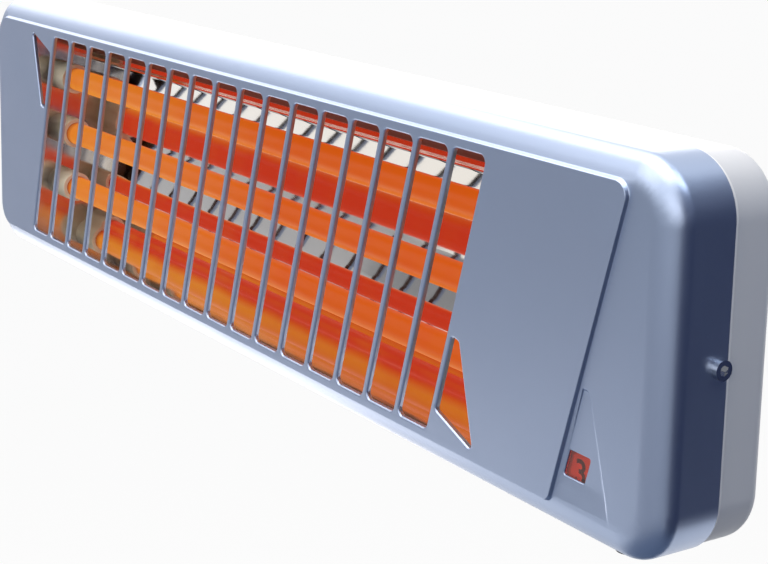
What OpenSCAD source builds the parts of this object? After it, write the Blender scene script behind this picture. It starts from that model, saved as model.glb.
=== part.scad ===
// Wall-mounted electric bar heater: three quartz tubes before a polished reflector,
// behind a pressed cover with slanted slots. Millimetres, X along the casing, Y into the
// wall, Z up. The origin is the middle of the wall bracket's back face.

/* [Casing] */
// Length of the casing
casing_l = 574; // [566:1:610]
// Height of the casing
casing_h = 140; // [136:1:156]
// Radius of the casing's corners, seen from the front
corner_r = 22; // [18:0.5:28]
// Depth of the front cover, from its border face to the seam
cover_d = 26; // [25:0.5:32]
// Depth of the back shell, from the seam to its rear face
shell_d = 21.5; // [19:0.5:24]
// Rounding of the cover's front edges
front_edge_r = 8; // [5:0.5:9]
// Rounding of the back shell's rear edges
rear_edge_r = 6; // [3:0.5:8]
// Thickness of the casing's sheet steel
sheet_t = 1.2; // [0.8:0.1:1.5]
// How much smaller the back shell is than the cover, on each side
shell_inset = 0.8; // [0.4:0.1:1]
// Reach of the back shell's lip inside the cover
lip_l = 8; // [7:0.5:12]
// Thickness of that lip
lip_t = 1; // [0.8:0.1:1.5]

/* [Front face] */
// Height of the raised panel above the border
panel_rise = 1.5; // [1:0.1:2]
// Width of the border above and below the raised panel
panel_border = 9.9; // [9.1:0.1:11]
// Place of the raised panel's right end at mid height, from the casing's right end
panel_end_x = -39.3; // [-44:0.1:-38.5]
// Depth of the three-cornered recess around the window
recess_d = 1; // [0.5:0.1:1.2]
// Height of the recess's upper corner above the casing's lower edge
recess_top_z = 55; // [45:0.5:62]
// Width of the recess at the casing's lower edge
recess_w = 29.5; // [24:0.5:31]

/* [Grille] */
// Number of full slots
slot_count = 17; // [13:2:17]
// Distance from slot to slot
slot_pitch = 22.9; // [20:0.1:23.2]
// Width of the bar between two slots
bar_w = 3.1; // [2.5:0.1:6]
// Height of the slots
slot_h = 112.5; // [90:0.5:116]
// Lean of the slots, sideways over upwards
slant = 0.288; // [0.2:0.002:0.3]
// Place of the grille's middle, from the raised panel's right end
grille_x = -268.5; // [-271:0.1:-267]
// Rounding of the slots' corners
slot_r = 2.6; // [1.5:0.1:4]
// Height of the three-cornered end slots' inner side
wing_side = 31.5; // [24:0.5:40]
// Width of the three-cornered end slots at their foot
wing_foot = 24; // [16:0.5:26]
// Width of the three-cornered end slots at their tip
wing_tip = 4.6; // [4:0.1:7]

/* [Heating tubes] */
// Outer radius of a quartz tube
tube_r = 6; // [5:0.1:6.5]
// Wall of a quartz tube
tube_wall = 1; // [0.8:0.1:1.5]
// Length of a quartz tube
tube_l = 410; // [380:1:412]
// Distance from tube to tube
tube_pitch = 30.5; // [29:0.1:31]
// Depth of the tubes' axes behind the raised panel
tube_depth = 19; // [18.5:0.1:20]
// Outer radius of the wound heating coil
coil_r = 3.4; // [2.8:0.1:3.6]
// Thickness of the heating coil's winding
coil_wall = 0.8; // [0.5:0.1:1]
// Outer radius of a ceramic end cap
cap_r = 8; // [7.5:0.1:8.4]
// Length of a ceramic end cap
cap_l = 30; // [26:0.5:32]
// Depth to which a tube sits in its cap
cap_seat = 14; // [10:0.5:16]
// Radius of the terminal pin through a cap
pin_r = 1.1; // [0.8:0.1:1.5]
// Thickness of the spring clip round a cap
clip_t = 0.8; // [0.5:0.1:1]
// Width of the spring clip
clip_w = 5; // [3:0.5:6]

/* [Reflector] */
// Depth of the reflector's back behind the tubes' middle
reflector_d = 16; // [15.5:0.1:16.5]
// How far the two flat ribs stand forward of the back
rib_rise = 3.3; // [2.5:0.1:4]
// Width of a rib
rib_w = 11; // [8:0.5:13]
// Height of a rib's top edge above the outer tube's middle
rib_top = 0.8; // [0:0.1:2]
// Height of the inner bends above and below mid height
inner_bend_z = 10.4; // [8:0.1:12]
// How far the inner bends stand forward of the back
inner_rise = 1; // [0.5:0.1:1.5]
// Height of the outer bends beyond the outer tube's middle
outer_bend_z = 9.5; // [9:0.1:11]
// Height of the flanks' bends beyond the outer tube's middle
flank_bend_z = 18; // [17:0.1:19]
// Depth of the flanks' bends behind the tubes' middle
flank_bend_d = 5; // [4:0.1:6]
// Thickness of the polished sheet
reflector_t = 0.8; // [0.5:0.1:1]
// Height of the reflector's front edges above mid height
wing_z = 59; // [57:0.5:60]
// Thickness of the tube supports and the heat shield
plate_t = 1.2; // [1:0.1:1.5]
// Height of the tube supports
plate_h = 121; // [120:1:123]
// Length of the feet on supports and shield
foot_l = 11; // [10:0.5:12]

/* [Switch] */
// Width of the indicator window
window_w = 11.2; // [9:0.1:12]
// Height of the indicator window
window_h = 9.8; // [8:0.1:10]
// Place of the window's middle, from the raised panel's right end
window_x = -4.1; // [-4.6:0.1:-3.2]
// Height of the window's middle above the casing's lower edge
window_z = 26.3; // [24:0.1:28]
// Radius at which the numbers stand on the number disc
digit_r = 13; // [12.5:0.1:13.5]
// Radius of the number disc
disc_r = 20.5; // [20:0.1:20.8]
// Side of the square switch body
switch_w = 34; // [30:0.5:34]
// Depth of the switch body
switch_d = 16; // [13:0.5:17]
// Radius of the spindle
spindle_r = 3; // [2.5:0.1:3.5]
// Radius of the boss that the pull lever turns on
boss_r = 6; // [5:0.1:6.5]
// Length of the pull lever, from its axis to the cord eye
lever_l = 16; // [14.5:0.1:17]
// Travel of the pull lever, in degrees
lever_travel = 45; // [30:1:50]
// Thickness of the pull lever
lever_t = 2; // [1.5:0.1:2.5]
// Wire of the lever's return spring
spring_wire = 0.8; // [0.6:0.1:0.9]
// Pitch of the return spring's turns
spring_pitch = 1.4; // [1.35:0.05:1.6]
// Number of turns of the return spring
spring_turns = 2; // [2:1:3]

/* [Wiring] */
// Radius of the inner wires
wire_r = 1.2; // [0.9:0.1:1.4]
// Radius of the mains cable inlet's bore
inlet_r = 4.2; // [3:0.1:4.5]
// Radius of the pull cord outlet's bore
outlet_r = 1.6; // [1.2:0.1:1.8]
// Length of the terminal block
block_l = 36; // [33:0.5:38]
// Width of the terminal block
block_w = 16; // [14:0.5:18]
// Height of the terminal block above the shell's floor
block_d = 14; // [12:0.5:16]

/* [Wall bracket] */
// Distance from the wall to the casing's rear face
standoff = 45; // [43:0.5:60]
// Distance from the wall to the tilting axis
pivot_y = 30; // [28:0.5:31]
// Distance between the bracket's two arms
bracket_w = 250; // [220:1:300]
// Height of the bracket's wall plate
bracket_h = 50; // [44:1:54]
// Thickness of the bracket's steel
bracket_t = 2.5; // [2:0.1:3]
// Distance between the two wall screws
screw_spacing = 200; // [150:1:205]
// Width of the slotted holes for the wall screws
screw_slot_w = 5.5; // [4.5:0.1:7]
// Length of the slotted holes
screw_slot_l = 12; // [8:0.5:20]
// Radius of the pivot bolts
bolt_r = 3; // [2.5:0.1:4]

/* [Fits] */
// Clearance between loose pieces
gap = 0.3; // [0.2:0.05:0.4]
// Clearance on the radius of a turning fit
running = 0.05; // [0.02:0.01:0.1]
// Clearance on the radius of a screw or plug in its hole
snug = 0.1; // [0.05:0.01:0.15]

/* [Hidden] */
$fn = 48;
HULL_FN = 32;
ARC_STEPS = 5;
EPS = 0.01;
OVER = 1;
SIDES = [-1, 1];

// Depths along Y, from the wall forward
y_rear = -standoff;
y_floor = y_rear - sheet_t;
y_seam = y_rear - shell_d;
y_face = y_seam - cover_d;
y_under = y_face + sheet_t;
y_panel = y_face - panel_rise;
y_recess = y_face + recess_d;
y_recess_under = y_recess + sheet_t;
y_tube = y_panel + tube_depth;
y_chamber = y_under + OVER;

// Grille
slot_w = slot_pitch - bar_w;
grille_end = (slot_count * slot_pitch + bar_w) / 2;
wing_shift = slot_w * 0.47;

// Raised panel and window recess
panel_end = casing_l / 2 + panel_end_x;
grille_mid = panel_end + grille_x;
window_mid = panel_end + window_x;
window_level = window_z - casing_h / 2;
recess_top = recess_top_z - casing_h / 2;
panel_z = casing_h / 2 - panel_border;
panel_left = -casing_l / 2 + panel_border + 1;
panel_radii = [12, 3, 5, 12];
flat_z = casing_h / 2 - front_edge_r;
recess_tip_w = 3;

// Heating chamber
tube_zs = [tube_pitch, 0, -tube_pitch];
cap_in = tube_l / 2 - cap_seat;
cap_out = cap_in + cap_l;
cap_behind = 8;
plate_in = cap_out - cap_behind;
plate_out = plate_in + plate_t;
pin_head_r = 3;
pin_head_t = 1;
pin_stub = 3;
pin_out = cap_out + pin_stub;
pin_grip = 8;
coil_gap = 3;
coil_half = tube_l / 2 - coil_gap;
bar_t = 1;
bar_half_w = 3;
bar_lug_h = 8;
plate_z = plate_h / 2;

// Electrical compartment, right of the shield
switch_x = window_mid;
shield_gap = 5.2;
shield_right = switch_x - switch_w / 2 - shield_gap;
shield_x = shield_right - plate_t;
terminal_room = 17;
tube_mid = shield_x - terminal_room - pin_out;
switch_z = window_level + digit_r;
lens_t = 1.2;
lens_rim = 1.2;
disc_t = 1.2;
y_lens = y_recess_under + lens_t;
y_disc = y_lens + gap + disc_t;
spring_l = spring_turns * spring_pitch + 2 * spring_wire;
lever_set_back = 7.4;
y_lever_front = y_disc + lever_set_back;
y_lever = y_lever_front + lever_t;
y_switch = y_lever + spring_l;
y_switch_back = y_switch + switch_d;
eye_r = 1.5;
hub_r = boss_r + 3;
lever_rest = lever_travel / 2;
eye_x = switch_x + lever_l * cos(lever_rest);
spring_r = boss_r + spring_wire / 2 + OVER;
switch_top = switch_z + switch_w / 2;
switch_corner = 2;
spindle_seat = 3;
arm_root = 4.5;
arm_tip = 3.5;
lens_proud = 0.2;
tab_xs = [for (i = [-1.5:1:1.5]) switch_x + i * switch_w / 4.25];
tab_h = 6;
tab_y = (y_switch + y_switch_back) / 2;
hat_foot = 8;
hat_l = 24;

// Pull cord outlet
outlet_y = (y_lever + y_lever_front) / 2;
casing_bottom = -casing_h / 2;
bush_wall = 1.6;
bush_flange = 1.5;

// Terminal block, cable inlet and earth
block_gap = 17;
block_x = shield_right + block_gap + block_w / 2;
block_edge = 29;
block_z = casing_h / 2 - block_edge;
pole_pitch = 11;
pole_zs = [for (i = [-1:1]) block_z + i * pole_pitch];
terminal_r = 2;
screw_sink = 2;
screw_slot_t = 0.8;
wire_lift = 6.5;
wire_y = y_floor - wire_lift;
inlet_edge = 20;
inlet_x = casing_l / 2 - inlet_edge;
inlet_z = -4;
clamp_rise = 18;
clamp_z = inlet_z + clamp_rise;
clamp_w = 8;
clamp_reach = 5;
clamp_half = inlet_r + clamp_reach;
clamp_roof = 1.5;
clamp_h = 2 * inlet_r + clamp_roof;
clamp_rim = 3;
earth_side = 2;
earth_x = block_x + earth_side;
earth_rise = 12;
earth_z = inlet_z + earth_rise;
stud_r = 2;
stud_head_t = 2;
stud_l = 9;
stud_nut_t = 3;

// Thermal cut-out on the right tube support
cutout_r = 8;
cutout_lift = 4.3;
cutout_y = wire_y - cutout_lift;
cutout_z = tube_pitch / 2;
cutout_d = 8;
cutout_rim = 1.5;
cutout_tab = 4;
tab_w = 5;
tab_t = 3;
feed_z = cutout_z - cutout_tab;

// Ends of the wires, and the step from which their bends are set out
wire_start = tube_mid + pin_out;
cutout_end = tube_mid + plate_out + cutout_d + cutout_tab;
tab_top = switch_top + tab_h;
wire_step = 2;
wire_play = 1;

// Side screws
side_r = 2;
side_head_r = 3.6;
side_head_t = 2.2;
side_screw_l = 8;
side_nut_t = 3;
side_socket_floor = 0.6;
side_y = y_seam - side_head_r;
lip_inset = sheet_t + gap;
lip_root = 3;

// Small screws into the shell's floor
small_r = 1.7;
small_head_r = 3;
small_head_t = 1.8;
small_l = 4;
saddle_l = 16;
saddle_h = 18;
saddle_gap = 17;
saddle_x = bracket_w / 2 + saddle_gap + saddle_l / 2;
foot_zs = [-28, 28];
foot_screw_x = plate_in + foot_l * 0.6;
hat_screw_z = switch_w / 2 - switch_corner + hat_foot / 2;
chassis_points = concat(
    [for (s = SIDES, z = foot_zs) [tube_mid + s * foot_screw_x, z]],
    [for (z = foot_zs) [shield_x - foot_l / 2, z]],
    [for (s = SIDES) [s * saddle_x, 0]],
    [for (s = SIDES) [switch_x, switch_z + s * hat_screw_z]]);

// Pivots
arm_x = bracket_w / 2;
washer_t = 1;
washer_r = 6.5;
lug_t = 2.5;
lug_x = arm_x - washer_t;
lug_h = 30;
lug_foot = 20;
lug_screw_x = lug_x - lug_t - lug_foot / 2;
lug_screw_z = 9;
lug_screw_l = 6;
ear_radii = [1, 1, 7, 7];
slot_half = (screw_slot_l - screw_slot_w) / 2;
arm_r = 9;
nut_h = 5;
head_h = 4;
nut_r = 1.9 * bolt_r;

// ---- Shared shapes ----

// Extrudes a front-view outline (X, Z) between two depths, y_back being nearer the wall
module slab(y_back, y_front) {
    translate([0, y_back, 0])
        rotate([90, 0, 0])
            linear_extrude(y_back - y_front)
                children();
}

// Extrudes a side-view outline (Y, Z) between two places along X
module across(x_low, x_high) {
    translate([x_low, 0, 0])
        rotate([90, 0, 90])
            linear_extrude(x_high - x_low)
                children();
}

module rod_x(y, z, x_low, x_high, r) {
    translate([x_low, y, z])
        rotate([0, 90, 0])
            cylinder(h = x_high - x_low, r = r);
}

module rod_y(x, z, y_back, y_front, r) {
    translate([x, y_back, z])
        rotate([90, 0, 0])
            cylinder(h = y_back - y_front, r = r);
}

module rod_z(x, y, z_low, z_high, r) {
    translate([x, y, z_low])
        cylinder(h = z_high - z_low, r = r);
}

function unit(v) = v / norm(v);

// Arc that rounds the corner p between its neighbours a and b
function corner_arc(p, a, b, r) =
    let (u = unit(a - p), v = unit(b - p), half = acos(u * v) / 2,
         c = p + unit(u + v) * r / sin(half), from = p + u * r / tan(half) - c,
         to = p + v * r / tan(half) - c, start = atan2(from.y, from.x),
         sweep = (atan2(to.y, to.x) - start + 540) % 360 - 180)
    [for (i = [0:ARC_STEPS]) c + r * [cos(start + sweep * i / ARC_STEPS),
                                      sin(start + sweep * i / ARC_STEPS)]];

// Closed outline with every corner rounded, by one radius or by a list of them
function rounded(points, r) =
    let (n = len(points))
    [for (i = [0:n - 1]) each corner_arc(points[i], points[(i + n - 1) % n],
                                         points[(i + 1) % n], is_list(r) ? r[i] : r)];

function box_points(w, h) = [[-w, -h] / 2, [w, -h] / 2, [w, h] / 2, [-w, h] / 2];

// Rounded box whose edges are also rounded at y_round, and open-ended at y_flat
module pillow(l, h, r, edge, y_round, y_flat) {
    inward = y_flat > y_round ? 1 : -1;
    y_ring = y_round + inward * edge;
    hull()
        for (sx = SIDES, sz = SIDES)
            translate([sx * (l / 2 - r), 0, sz * (h / 2 - r)]) {
                rod_y(0, 0, max(y_ring, y_flat), min(y_ring, y_flat), r, $fn = HULL_FN);
                translate([0, y_ring, 0])
                    rotate([90, 0, 0])
                        rotate_extrude($fn = HULL_FN)
                            translate([r - edge, 0])
                                circle(edge, $fn = HULL_FN);
            }
}

// Tube of radius r swept along points, closed at both ends
module swept(points, r, sides = 8) {
    n = len(points);
    function along(i) = unit(points[min(i + 1, n - 1)] - points[max(i - 1, 0)]);
    function across_of(t) = unit(cross(t, abs(t.x) < 0.8 ? [1, 0, 0] : [0, 1, 0]));
    // Each ring's first direction is the last one's, turned as little as possible
    function frames(i, last) =
        i == n ? [] :
        let (t = along(i), u = unit(last - t * (last * t)))
        concat([[u, cross(t, u)]], frames(i + 1, u));
    rings = frames(0, across_of(along(0)));
    skin = [for (i = [0:n - 1]) for (k = [0:sides - 1])
        points[i] + r * (cos(360 * k / sides) * rings[i][0] + sin(360 * k / sides) * rings[i][1])];
    walls = [for (i = [0:n - 2]) for (k = [0:sides - 1])
        let (a = i * sides + k, b = i * sides + (k + 1) % sides)
        each [[a, a + sides, b], [b, a + sides, b + sides]]];
    foot = [for (k = [1:sides - 2]) [0, k, k + 1]];
    head = [for (k = [1:sides - 2]) [(n - 1) * sides, (n - 1) * sides + k + 1,
                                     (n - 1) * sides + k]];
    polyhedron(skin, concat(walls, foot, head));
}

// Smooth route through hand-placed points
function spline(p, steps = 4) =
    let (n = len(p))
    [for (i = [0:n - 2]) for (s = [0:steps - 1])
        let (t = s / steps, a = p[max(i - 1, 0)], b = p[i], c = p[i + 1], d = p[min(i + 2, n - 1)])
        b + (c - a) * t / 2 + (2 * a - 5 * b + 4 * c - d) * t * t / 2
          + (3 * b - a - 3 * c + d) * t * t * t / 2,
     p[n - 1]];

// Screw along Y with its head's seat at y_seat; it points to the wall, or away from it
module screw_y(x, z, y_seat, into_wall, l = small_l) {
    if (into_wall) {
        rod_y(x, z, y_seat, y_seat - small_head_t, small_head_r);
        rod_y(x, z, y_seat + l, y_seat - EPS, small_r);
    } else {
        rod_y(x, z, y_seat + small_head_t, y_seat, small_head_r);
        rod_y(x, z, y_seat + EPS, y_seat - l, small_r);
    }
}

module screw_hole_y(x, z, y_back, y_front) {
    rod_y(x, z, y_back + OVER, y_front - OVER, small_r + snug);
}

module hex(y, z, x_low, x_high, r) {
    translate([x_low, y, z])
        rotate([0, 90, 0])
            cylinder(h = x_high - x_low, r = r, $fn = 6);
}

// ---- Casing ----

function panel_points(inset) =
    let (top = panel_z - inset, left = panel_left + inset, end = panel_end - inset)
    [[left, -top], [end - slant * top, -top], [end + slant * top, top], [left, top]];

module panel_outline(inset) {
    polygon(rounded(panel_points(inset), [for (r = panel_radii) r - inset]));
}

// Three-cornered recess between the raised panel's slanted end and a line to the lower edge
module recess_outline(grow, bottom) {
    apex = [panel_end + slant * (recess_top + grow), recess_top + grow];
    foot = panel_end - slant * bottom;
    polygon([apex + [-grow, 0], apex + [recess_tip_w + grow, 0],
             [foot + recess_w + grow, -bottom], [foot - grow, -bottom]]);
}

function slot_points(i) =
    let (x = grille_mid + (i - (slot_count - 1) / 2) * slot_pitch, lean = slant * slot_h / 2)
    [[x - lean - slot_w / 2, -slot_h / 2], [x - lean + slot_w / 2, -slot_h / 2],
     [x + lean + slot_w / 2, slot_h / 2], [x + lean - slot_w / 2, slot_h / 2]];

// Three-cornered slot beside the last full slot; the other end's is this one turned round
function wing_points() =
    let (foot_z = -slot_h / 2 + wing_shift, tip_z = foot_z + wing_side,
         foot_x = grille_end + slant * foot_z, tip_x = grille_end + slant * tip_z)
    [[foot_x, foot_z], [foot_x + wing_foot, foot_z - wing_shift],
     [tip_x + wing_tip, tip_z - 1], [tip_x, tip_z]];

module grille_slots() {
    for (i = [0:slot_count - 1])
        polygon(rounded(slot_points(i), slot_r));
    for (turn = [0, 180])
        translate([grille_mid, 0])
            rotate(turn)
                polygon(rounded(wing_points(), [1.4, 1.4, 1.6, 1.6]));
}

module window_outline(grow) {
    w = window_w / 2 + grow;
    h = window_h / 2 + grow;
    translate([window_mid, window_level])
        polygon(rounded([[-w - slant * h, -h], [w - slant * h, -h],
                         [w + slant * h, h], [-w + slant * h, h]], 0.8));
}

module front_cover() {
    color([0.60, 0.65, 0.73])
        difference() {
            union() {
                difference() {
                    pillow(casing_l, casing_h, corner_r, front_edge_r, y_face, y_seam);
                    pillow(casing_l - 2 * sheet_t, casing_h - 2 * sheet_t, corner_r - sheet_t,
                           front_edge_r - sheet_t, y_under, y_seam + OVER);
                }
                slab(y_face + EPS, y_panel) panel_outline(0);
                slab(y_recess_under, y_under - EPS) recess_outline(sheet_t, flat_z + 2);
            }
            slab(y_under + EPS, y_panel + sheet_t) panel_outline(sheet_t);
            slab(y_recess, y_panel - OVER) recess_outline(0, casing_h / 2);
            slab(y_under + OVER, y_panel - OVER) grille_slots();
            slab(y_recess_under + OVER, y_recess - OVER) window_outline(0);
            rod_x(side_y, 0, -casing_l / 2 - OVER, casing_l / 2 + OVER, side_r + snug);
            rod_z(eye_x, outlet_y, casing_bottom - OVER, casing_bottom + sheet_t + OVER,
                  outlet_r + bush_wall + snug);
        }
}

module shell_outline(inset) {
    polygon(rounded(box_points(casing_l - 2 * inset, casing_h - 2 * inset), corner_r - inset));
}

module back_shell() {
    outer = shell_inset;
    inner = shell_inset + sheet_t;
    color([0.84, 0.86, 0.90])
        difference() {
            union() {
                difference() {
                    pillow(casing_l - 2 * outer, casing_h - 2 * outer, corner_r - outer,
                           rear_edge_r, y_rear, y_seam);
                    pillow(casing_l - 2 * inner, casing_h - 2 * inner, corner_r - inner,
                           rear_edge_r - sheet_t, y_floor, y_seam - OVER);
                }
                slab(y_seam + lip_root, y_seam - lip_l)
                    difference() {
                        shell_outline(lip_inset);
                        shell_outline(lip_inset + lip_t);
                    }
            }
            rod_x(side_y, 0, -casing_l / 2 - OVER, casing_l / 2 + OVER, side_r + snug);
            rod_y(inlet_x, inlet_z, y_rear + OVER, y_floor - OVER, inlet_r + bush_wall + snug);
            rod_y(earth_x, earth_z, y_rear + OVER, y_floor - OVER, stud_r + snug);
            for (p = chassis_points)
                screw_hole_y(p.x, p.y, y_rear, y_floor);
            for (sx = SIDES, sz = SIDES)
                screw_hole_y(sx * lug_screw_x, sz * lug_screw_z, y_rear, y_floor);
            for (sx = SIDES)
                screw_hole_y(inlet_x + sx * clamp_half, clamp_z, y_rear, y_floor);
        }
}

module window_lens() {
    color([0.85, 0.22, 0.12])
        union() {
            slab(y_recess_under + EPS, y_recess + lens_proud) window_outline(-snug);
            slab(y_lens, y_recess_under) window_outline(lens_rim);
        }
}

module side_screws() {
    color([0.82, 0.83, 0.85])
        for (s = SIDES)
            mirror([s > 0 ? 0 : 1, 0, 0])
                difference() {
                    union() {
                        rod_x(side_y, 0, casing_l / 2, casing_l / 2 + side_head_t, side_head_r);
                        rod_x(side_y, 0, casing_l / 2 - side_screw_l, casing_l / 2 + EPS, side_r);
                    }
                    hex(side_y, 0, casing_l / 2 + side_socket_floor,
                        casing_l / 2 + side_head_t + OVER, side_r);
                }
}

module side_nuts() {
    nut_x = casing_l / 2 - lip_inset - lip_t;
    color([0.62, 0.62, 0.64])
        for (s = SIDES)
            mirror([s > 0 ? 0 : 1, 0, 0])
                difference() {
                    hex(side_y, 0, nut_x - side_nut_t, nut_x, 1.9 * side_r);
                    rod_x(side_y, 0, nut_x - side_nut_t - OVER, nut_x + OVER, side_r + running);
                }
}

// ---- Heating chamber ----

// Bends of the sheet's inside, as [y, z], from the upper front edge down to mid height
reflector_bends = [
    [y_chamber, wing_z],
    [y_tube + flank_bend_d, tube_pitch + flank_bend_z],
    [y_tube + reflector_d, tube_pitch + outer_bend_z],
    [y_tube + reflector_d - rib_rise, tube_pitch + rib_top],
    [y_tube + reflector_d - rib_rise, tube_pitch + rib_top - rib_w],
    [y_tube + reflector_d - inner_rise, inner_bend_z],
    [y_tube + reflector_d, 0]];

module reflector_inside() {
    last = len(reflector_bends) - 1;
    polygon(concat(reflector_bends,
                   [for (k = [last - 1:-1:0]) [reflector_bends[k][0], -reflector_bends[k][1]]]));
}

module reflector() {
    color([0.86, 0.84, 0.82])
        across(tube_mid - plate_in, tube_mid + plate_in)
            difference() {
                offset(delta = reflector_t)
                    reflector_inside();
                reflector_inside();
                translate([y_chamber - casing_h, -casing_h])
                    square([casing_h, 2 * casing_h]);
            }
}

// Upright plate with a foot on the floor; toward is the foot's direction along X
module footed_plate(x_low, toward) {
    across(x_low, x_low + plate_t)
        translate([y_chamber, -plate_z])
            square([y_floor - y_chamber, plate_h]);
    foot_low = toward > 0 ? x_low : x_low + plate_t - foot_l;
    translate([foot_low, y_floor - plate_t, -plate_z])
        cube([foot_l, plate_t, plate_h]);
}

module tube_support(side) {
    x_low = side > 0 ? tube_mid + plate_in : tube_mid - plate_out;
    difference() {
        footed_plate(x_low, side);
        for (z = tube_zs)
            rod_x(y_tube, z, x_low - OVER, x_low + plate_t + OVER, cap_r + snug);
        rod_x(wire_y, block_z, x_low - OVER, x_low + plate_t + OVER, wire_r + wire_play);
        for (z = foot_zs)
            screw_hole_y(tube_mid + side * foot_screw_x, z, y_floor, y_floor - plate_t);
    }
}

module tube_support_left() {
    color([0.80, 0.79, 0.77]) tube_support(-1);
}

module tube_support_right() {
    color([0.80, 0.79, 0.77]) tube_support(1);
}

module heat_shield() {
    color([0.70, 0.71, 0.73])
        difference() {
            footed_plate(shield_x, -1);
            for (z = tube_zs)
                rod_x(y_tube, z, shield_x - OVER, shield_right + OVER, wire_r + wire_play);
            for (z = [block_z, pole_zs[0]])
                rod_x(wire_y, z, shield_x - OVER, shield_right + OVER, wire_r + wire_play);
            rod_x(cutout_y, feed_z, shield_x - OVER, shield_right + OVER, wire_r + wire_play);
            for (z = foot_zs)
                screw_hole_y(shield_x - foot_l / 2, z, y_floor, y_floor - plate_t);
        }
}

// Two pressed channels that carry the reflector's back off the floor
module reflector_saddles() {
    y_top = y_tube + reflector_d + reflector_t + gap;
    wall = plate_t;
    color([0.70, 0.71, 0.73])
        for (s = SIDES)
            difference() {
                translate([s * saddle_x - saddle_l / 2, 0, 0])
                    across(0, saddle_l)
                        difference() {
                            translate([y_top, -saddle_h / 2])
                                square([y_floor - y_top, saddle_h]);
                            translate([y_top + wall, -saddle_h / 2 + wall])
                                square([y_floor - y_top - 2 * wall, saddle_h - 2 * wall]);
                        }
                rod_y(s * saddle_x, 0, y_floor + OVER, y_floor - 2 * wall,
                      small_r + snug);
            }
}

module quartz_tube(z) {
    color([0.98, 0.50, 0.16])
        difference() {
            rod_x(y_tube, z, tube_mid - tube_l / 2, tube_mid + tube_l / 2, tube_r);
            rod_x(y_tube, z, tube_mid - tube_l / 2 - OVER, tube_mid + tube_l / 2 + OVER,
                  tube_r - tube_wall);
        }
}

// Closed outer shape of the wound resistance wire
module heating_coil(z) {
    color([0.90, 0.45, 0.15])
        difference() {
            rod_x(y_tube, z, tube_mid - coil_half, tube_mid + coil_half, coil_r);
            rod_x(y_tube, z, tube_mid - coil_half - OVER, tube_mid + coil_half + OVER,
                  coil_r - coil_wall);
        }
}

// side is 1 for the caps at the right end of the tubes and -1 for those at the left
module at_tube_end(side, z) {
    translate([tube_mid, y_tube, z])
        mirror([side > 0 ? 0 : 1, 0, 0])
            children();
}

module ceramic_cap(side, z) {
    color([0.90, 0.86, 0.74])
        at_tube_end(side, z)
            difference() {
                rod_x(0, 0, cap_in, cap_out, cap_r);
                rod_x(0, 0, cap_in - OVER, tube_l / 2, tube_r + snug);
                rod_x(0, 0, tube_l / 2 - OVER, cap_out + OVER, pin_r + snug);
            }
}

// Open spring ring round each cap, on the outer face of its support
module cap_clips(side) {
    color([0.66, 0.66, 0.68])
        for (z = tube_zs)
            at_tube_end(side, z)
                difference() {
                    rod_x(0, 0, plate_out, plate_out + clip_w, cap_r + running + clip_t);
                    rod_x(0, 0, plate_out - OVER, plate_out + clip_w + OVER, cap_r + running);
                    translate([plate_out - OVER, -2 * cap_r, -cap_r / 3])
                        cube([clip_w + 2 * OVER, 2 * cap_r, 2 * cap_r / 3]);
                }
}

module cap_clips_left() { cap_clips(-1); }

module cap_clips_right() { cap_clips(1); }

// Pin from the coil's end out through the cap, with a flat head for the wiring
module tube_terminals(side) {
    color([0.72, 0.70, 0.62])
        for (z = tube_zs)
            at_tube_end(side, z)
                union() {
                    rod_x(0, 0, coil_half - pin_grip, coil_half, coil_r - coil_wall - running);
                    rod_x(0, 0, coil_half - EPS, pin_out, pin_r);
                    rod_x(0, 0, pin_out - pin_head_t, pin_out, pin_head_r);
                }
}

module tube_terminals_left() { tube_terminals(-1); }

module tube_terminals_right() { tube_terminals(1); }

// Brass bar that joins the three left terminals, with a lug for the common wire
module link_bar() {
    x_in = tube_mid - pin_out - bar_t;
    top = block_z + bar_lug_h / 2;
    bottom = -tube_pitch - pin_head_r - 2;
    color([0.80, 0.66, 0.32])
        difference() {
            union() {
                across(x_in, x_in + bar_t)
                    translate([y_tube - bar_half_w, bottom])
                        square([2 * bar_half_w, top - bottom]);
                across(x_in, x_in + bar_t)
                    translate([y_tube, top - bar_lug_h])
                        square([wire_y + bar_half_w - y_tube, bar_lug_h]);
            }
            rod_x(y_tube, 0, x_in - OVER, x_in - EPS, pin_r);
        }
}

module thermal_cutout() {
    x_seat = tube_mid + plate_out;
    color([0.30, 0.29, 0.28])
        union() {
            rod_x(cutout_y, cutout_z, x_seat, x_seat + cutout_rim, cutout_r);
            rod_x(cutout_y, cutout_z, x_seat + cutout_rim - EPS, x_seat + cutout_d,
                  cutout_r - cutout_rim);
            for (z = [cutout_z + cutout_tab, feed_z])
                translate([x_seat + cutout_d - EPS, cutout_y - tab_t / 2, z - cutout_tab / 2])
                    cube([cutout_tab + EPS, tab_t, cutout_tab]);
        }
}

// ---- Switch ----

module switch_body() {
    color([0.24, 0.20, 0.18])
        difference() {
            union() {
                slab(y_switch_back, y_switch)
                    translate([switch_x, switch_z])
                        polygon(rounded(box_points(switch_w, switch_w), switch_corner));
                rod_y(switch_x, switch_z, y_switch + EPS, y_lever_front - gap, boss_r);
            }
            rod_y(switch_x, switch_z, y_switch_back - spindle_seat, y_lever_front - OVER,
                  spindle_r + running);
        }
}

module switch_tabs() {
    color([0.80, 0.66, 0.32])
        for (x = tab_xs)
            translate([x - tab_w / 2, tab_y - tab_t / 2, switch_top])
                cube([tab_w, tab_t, tab_h]);
}

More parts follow.
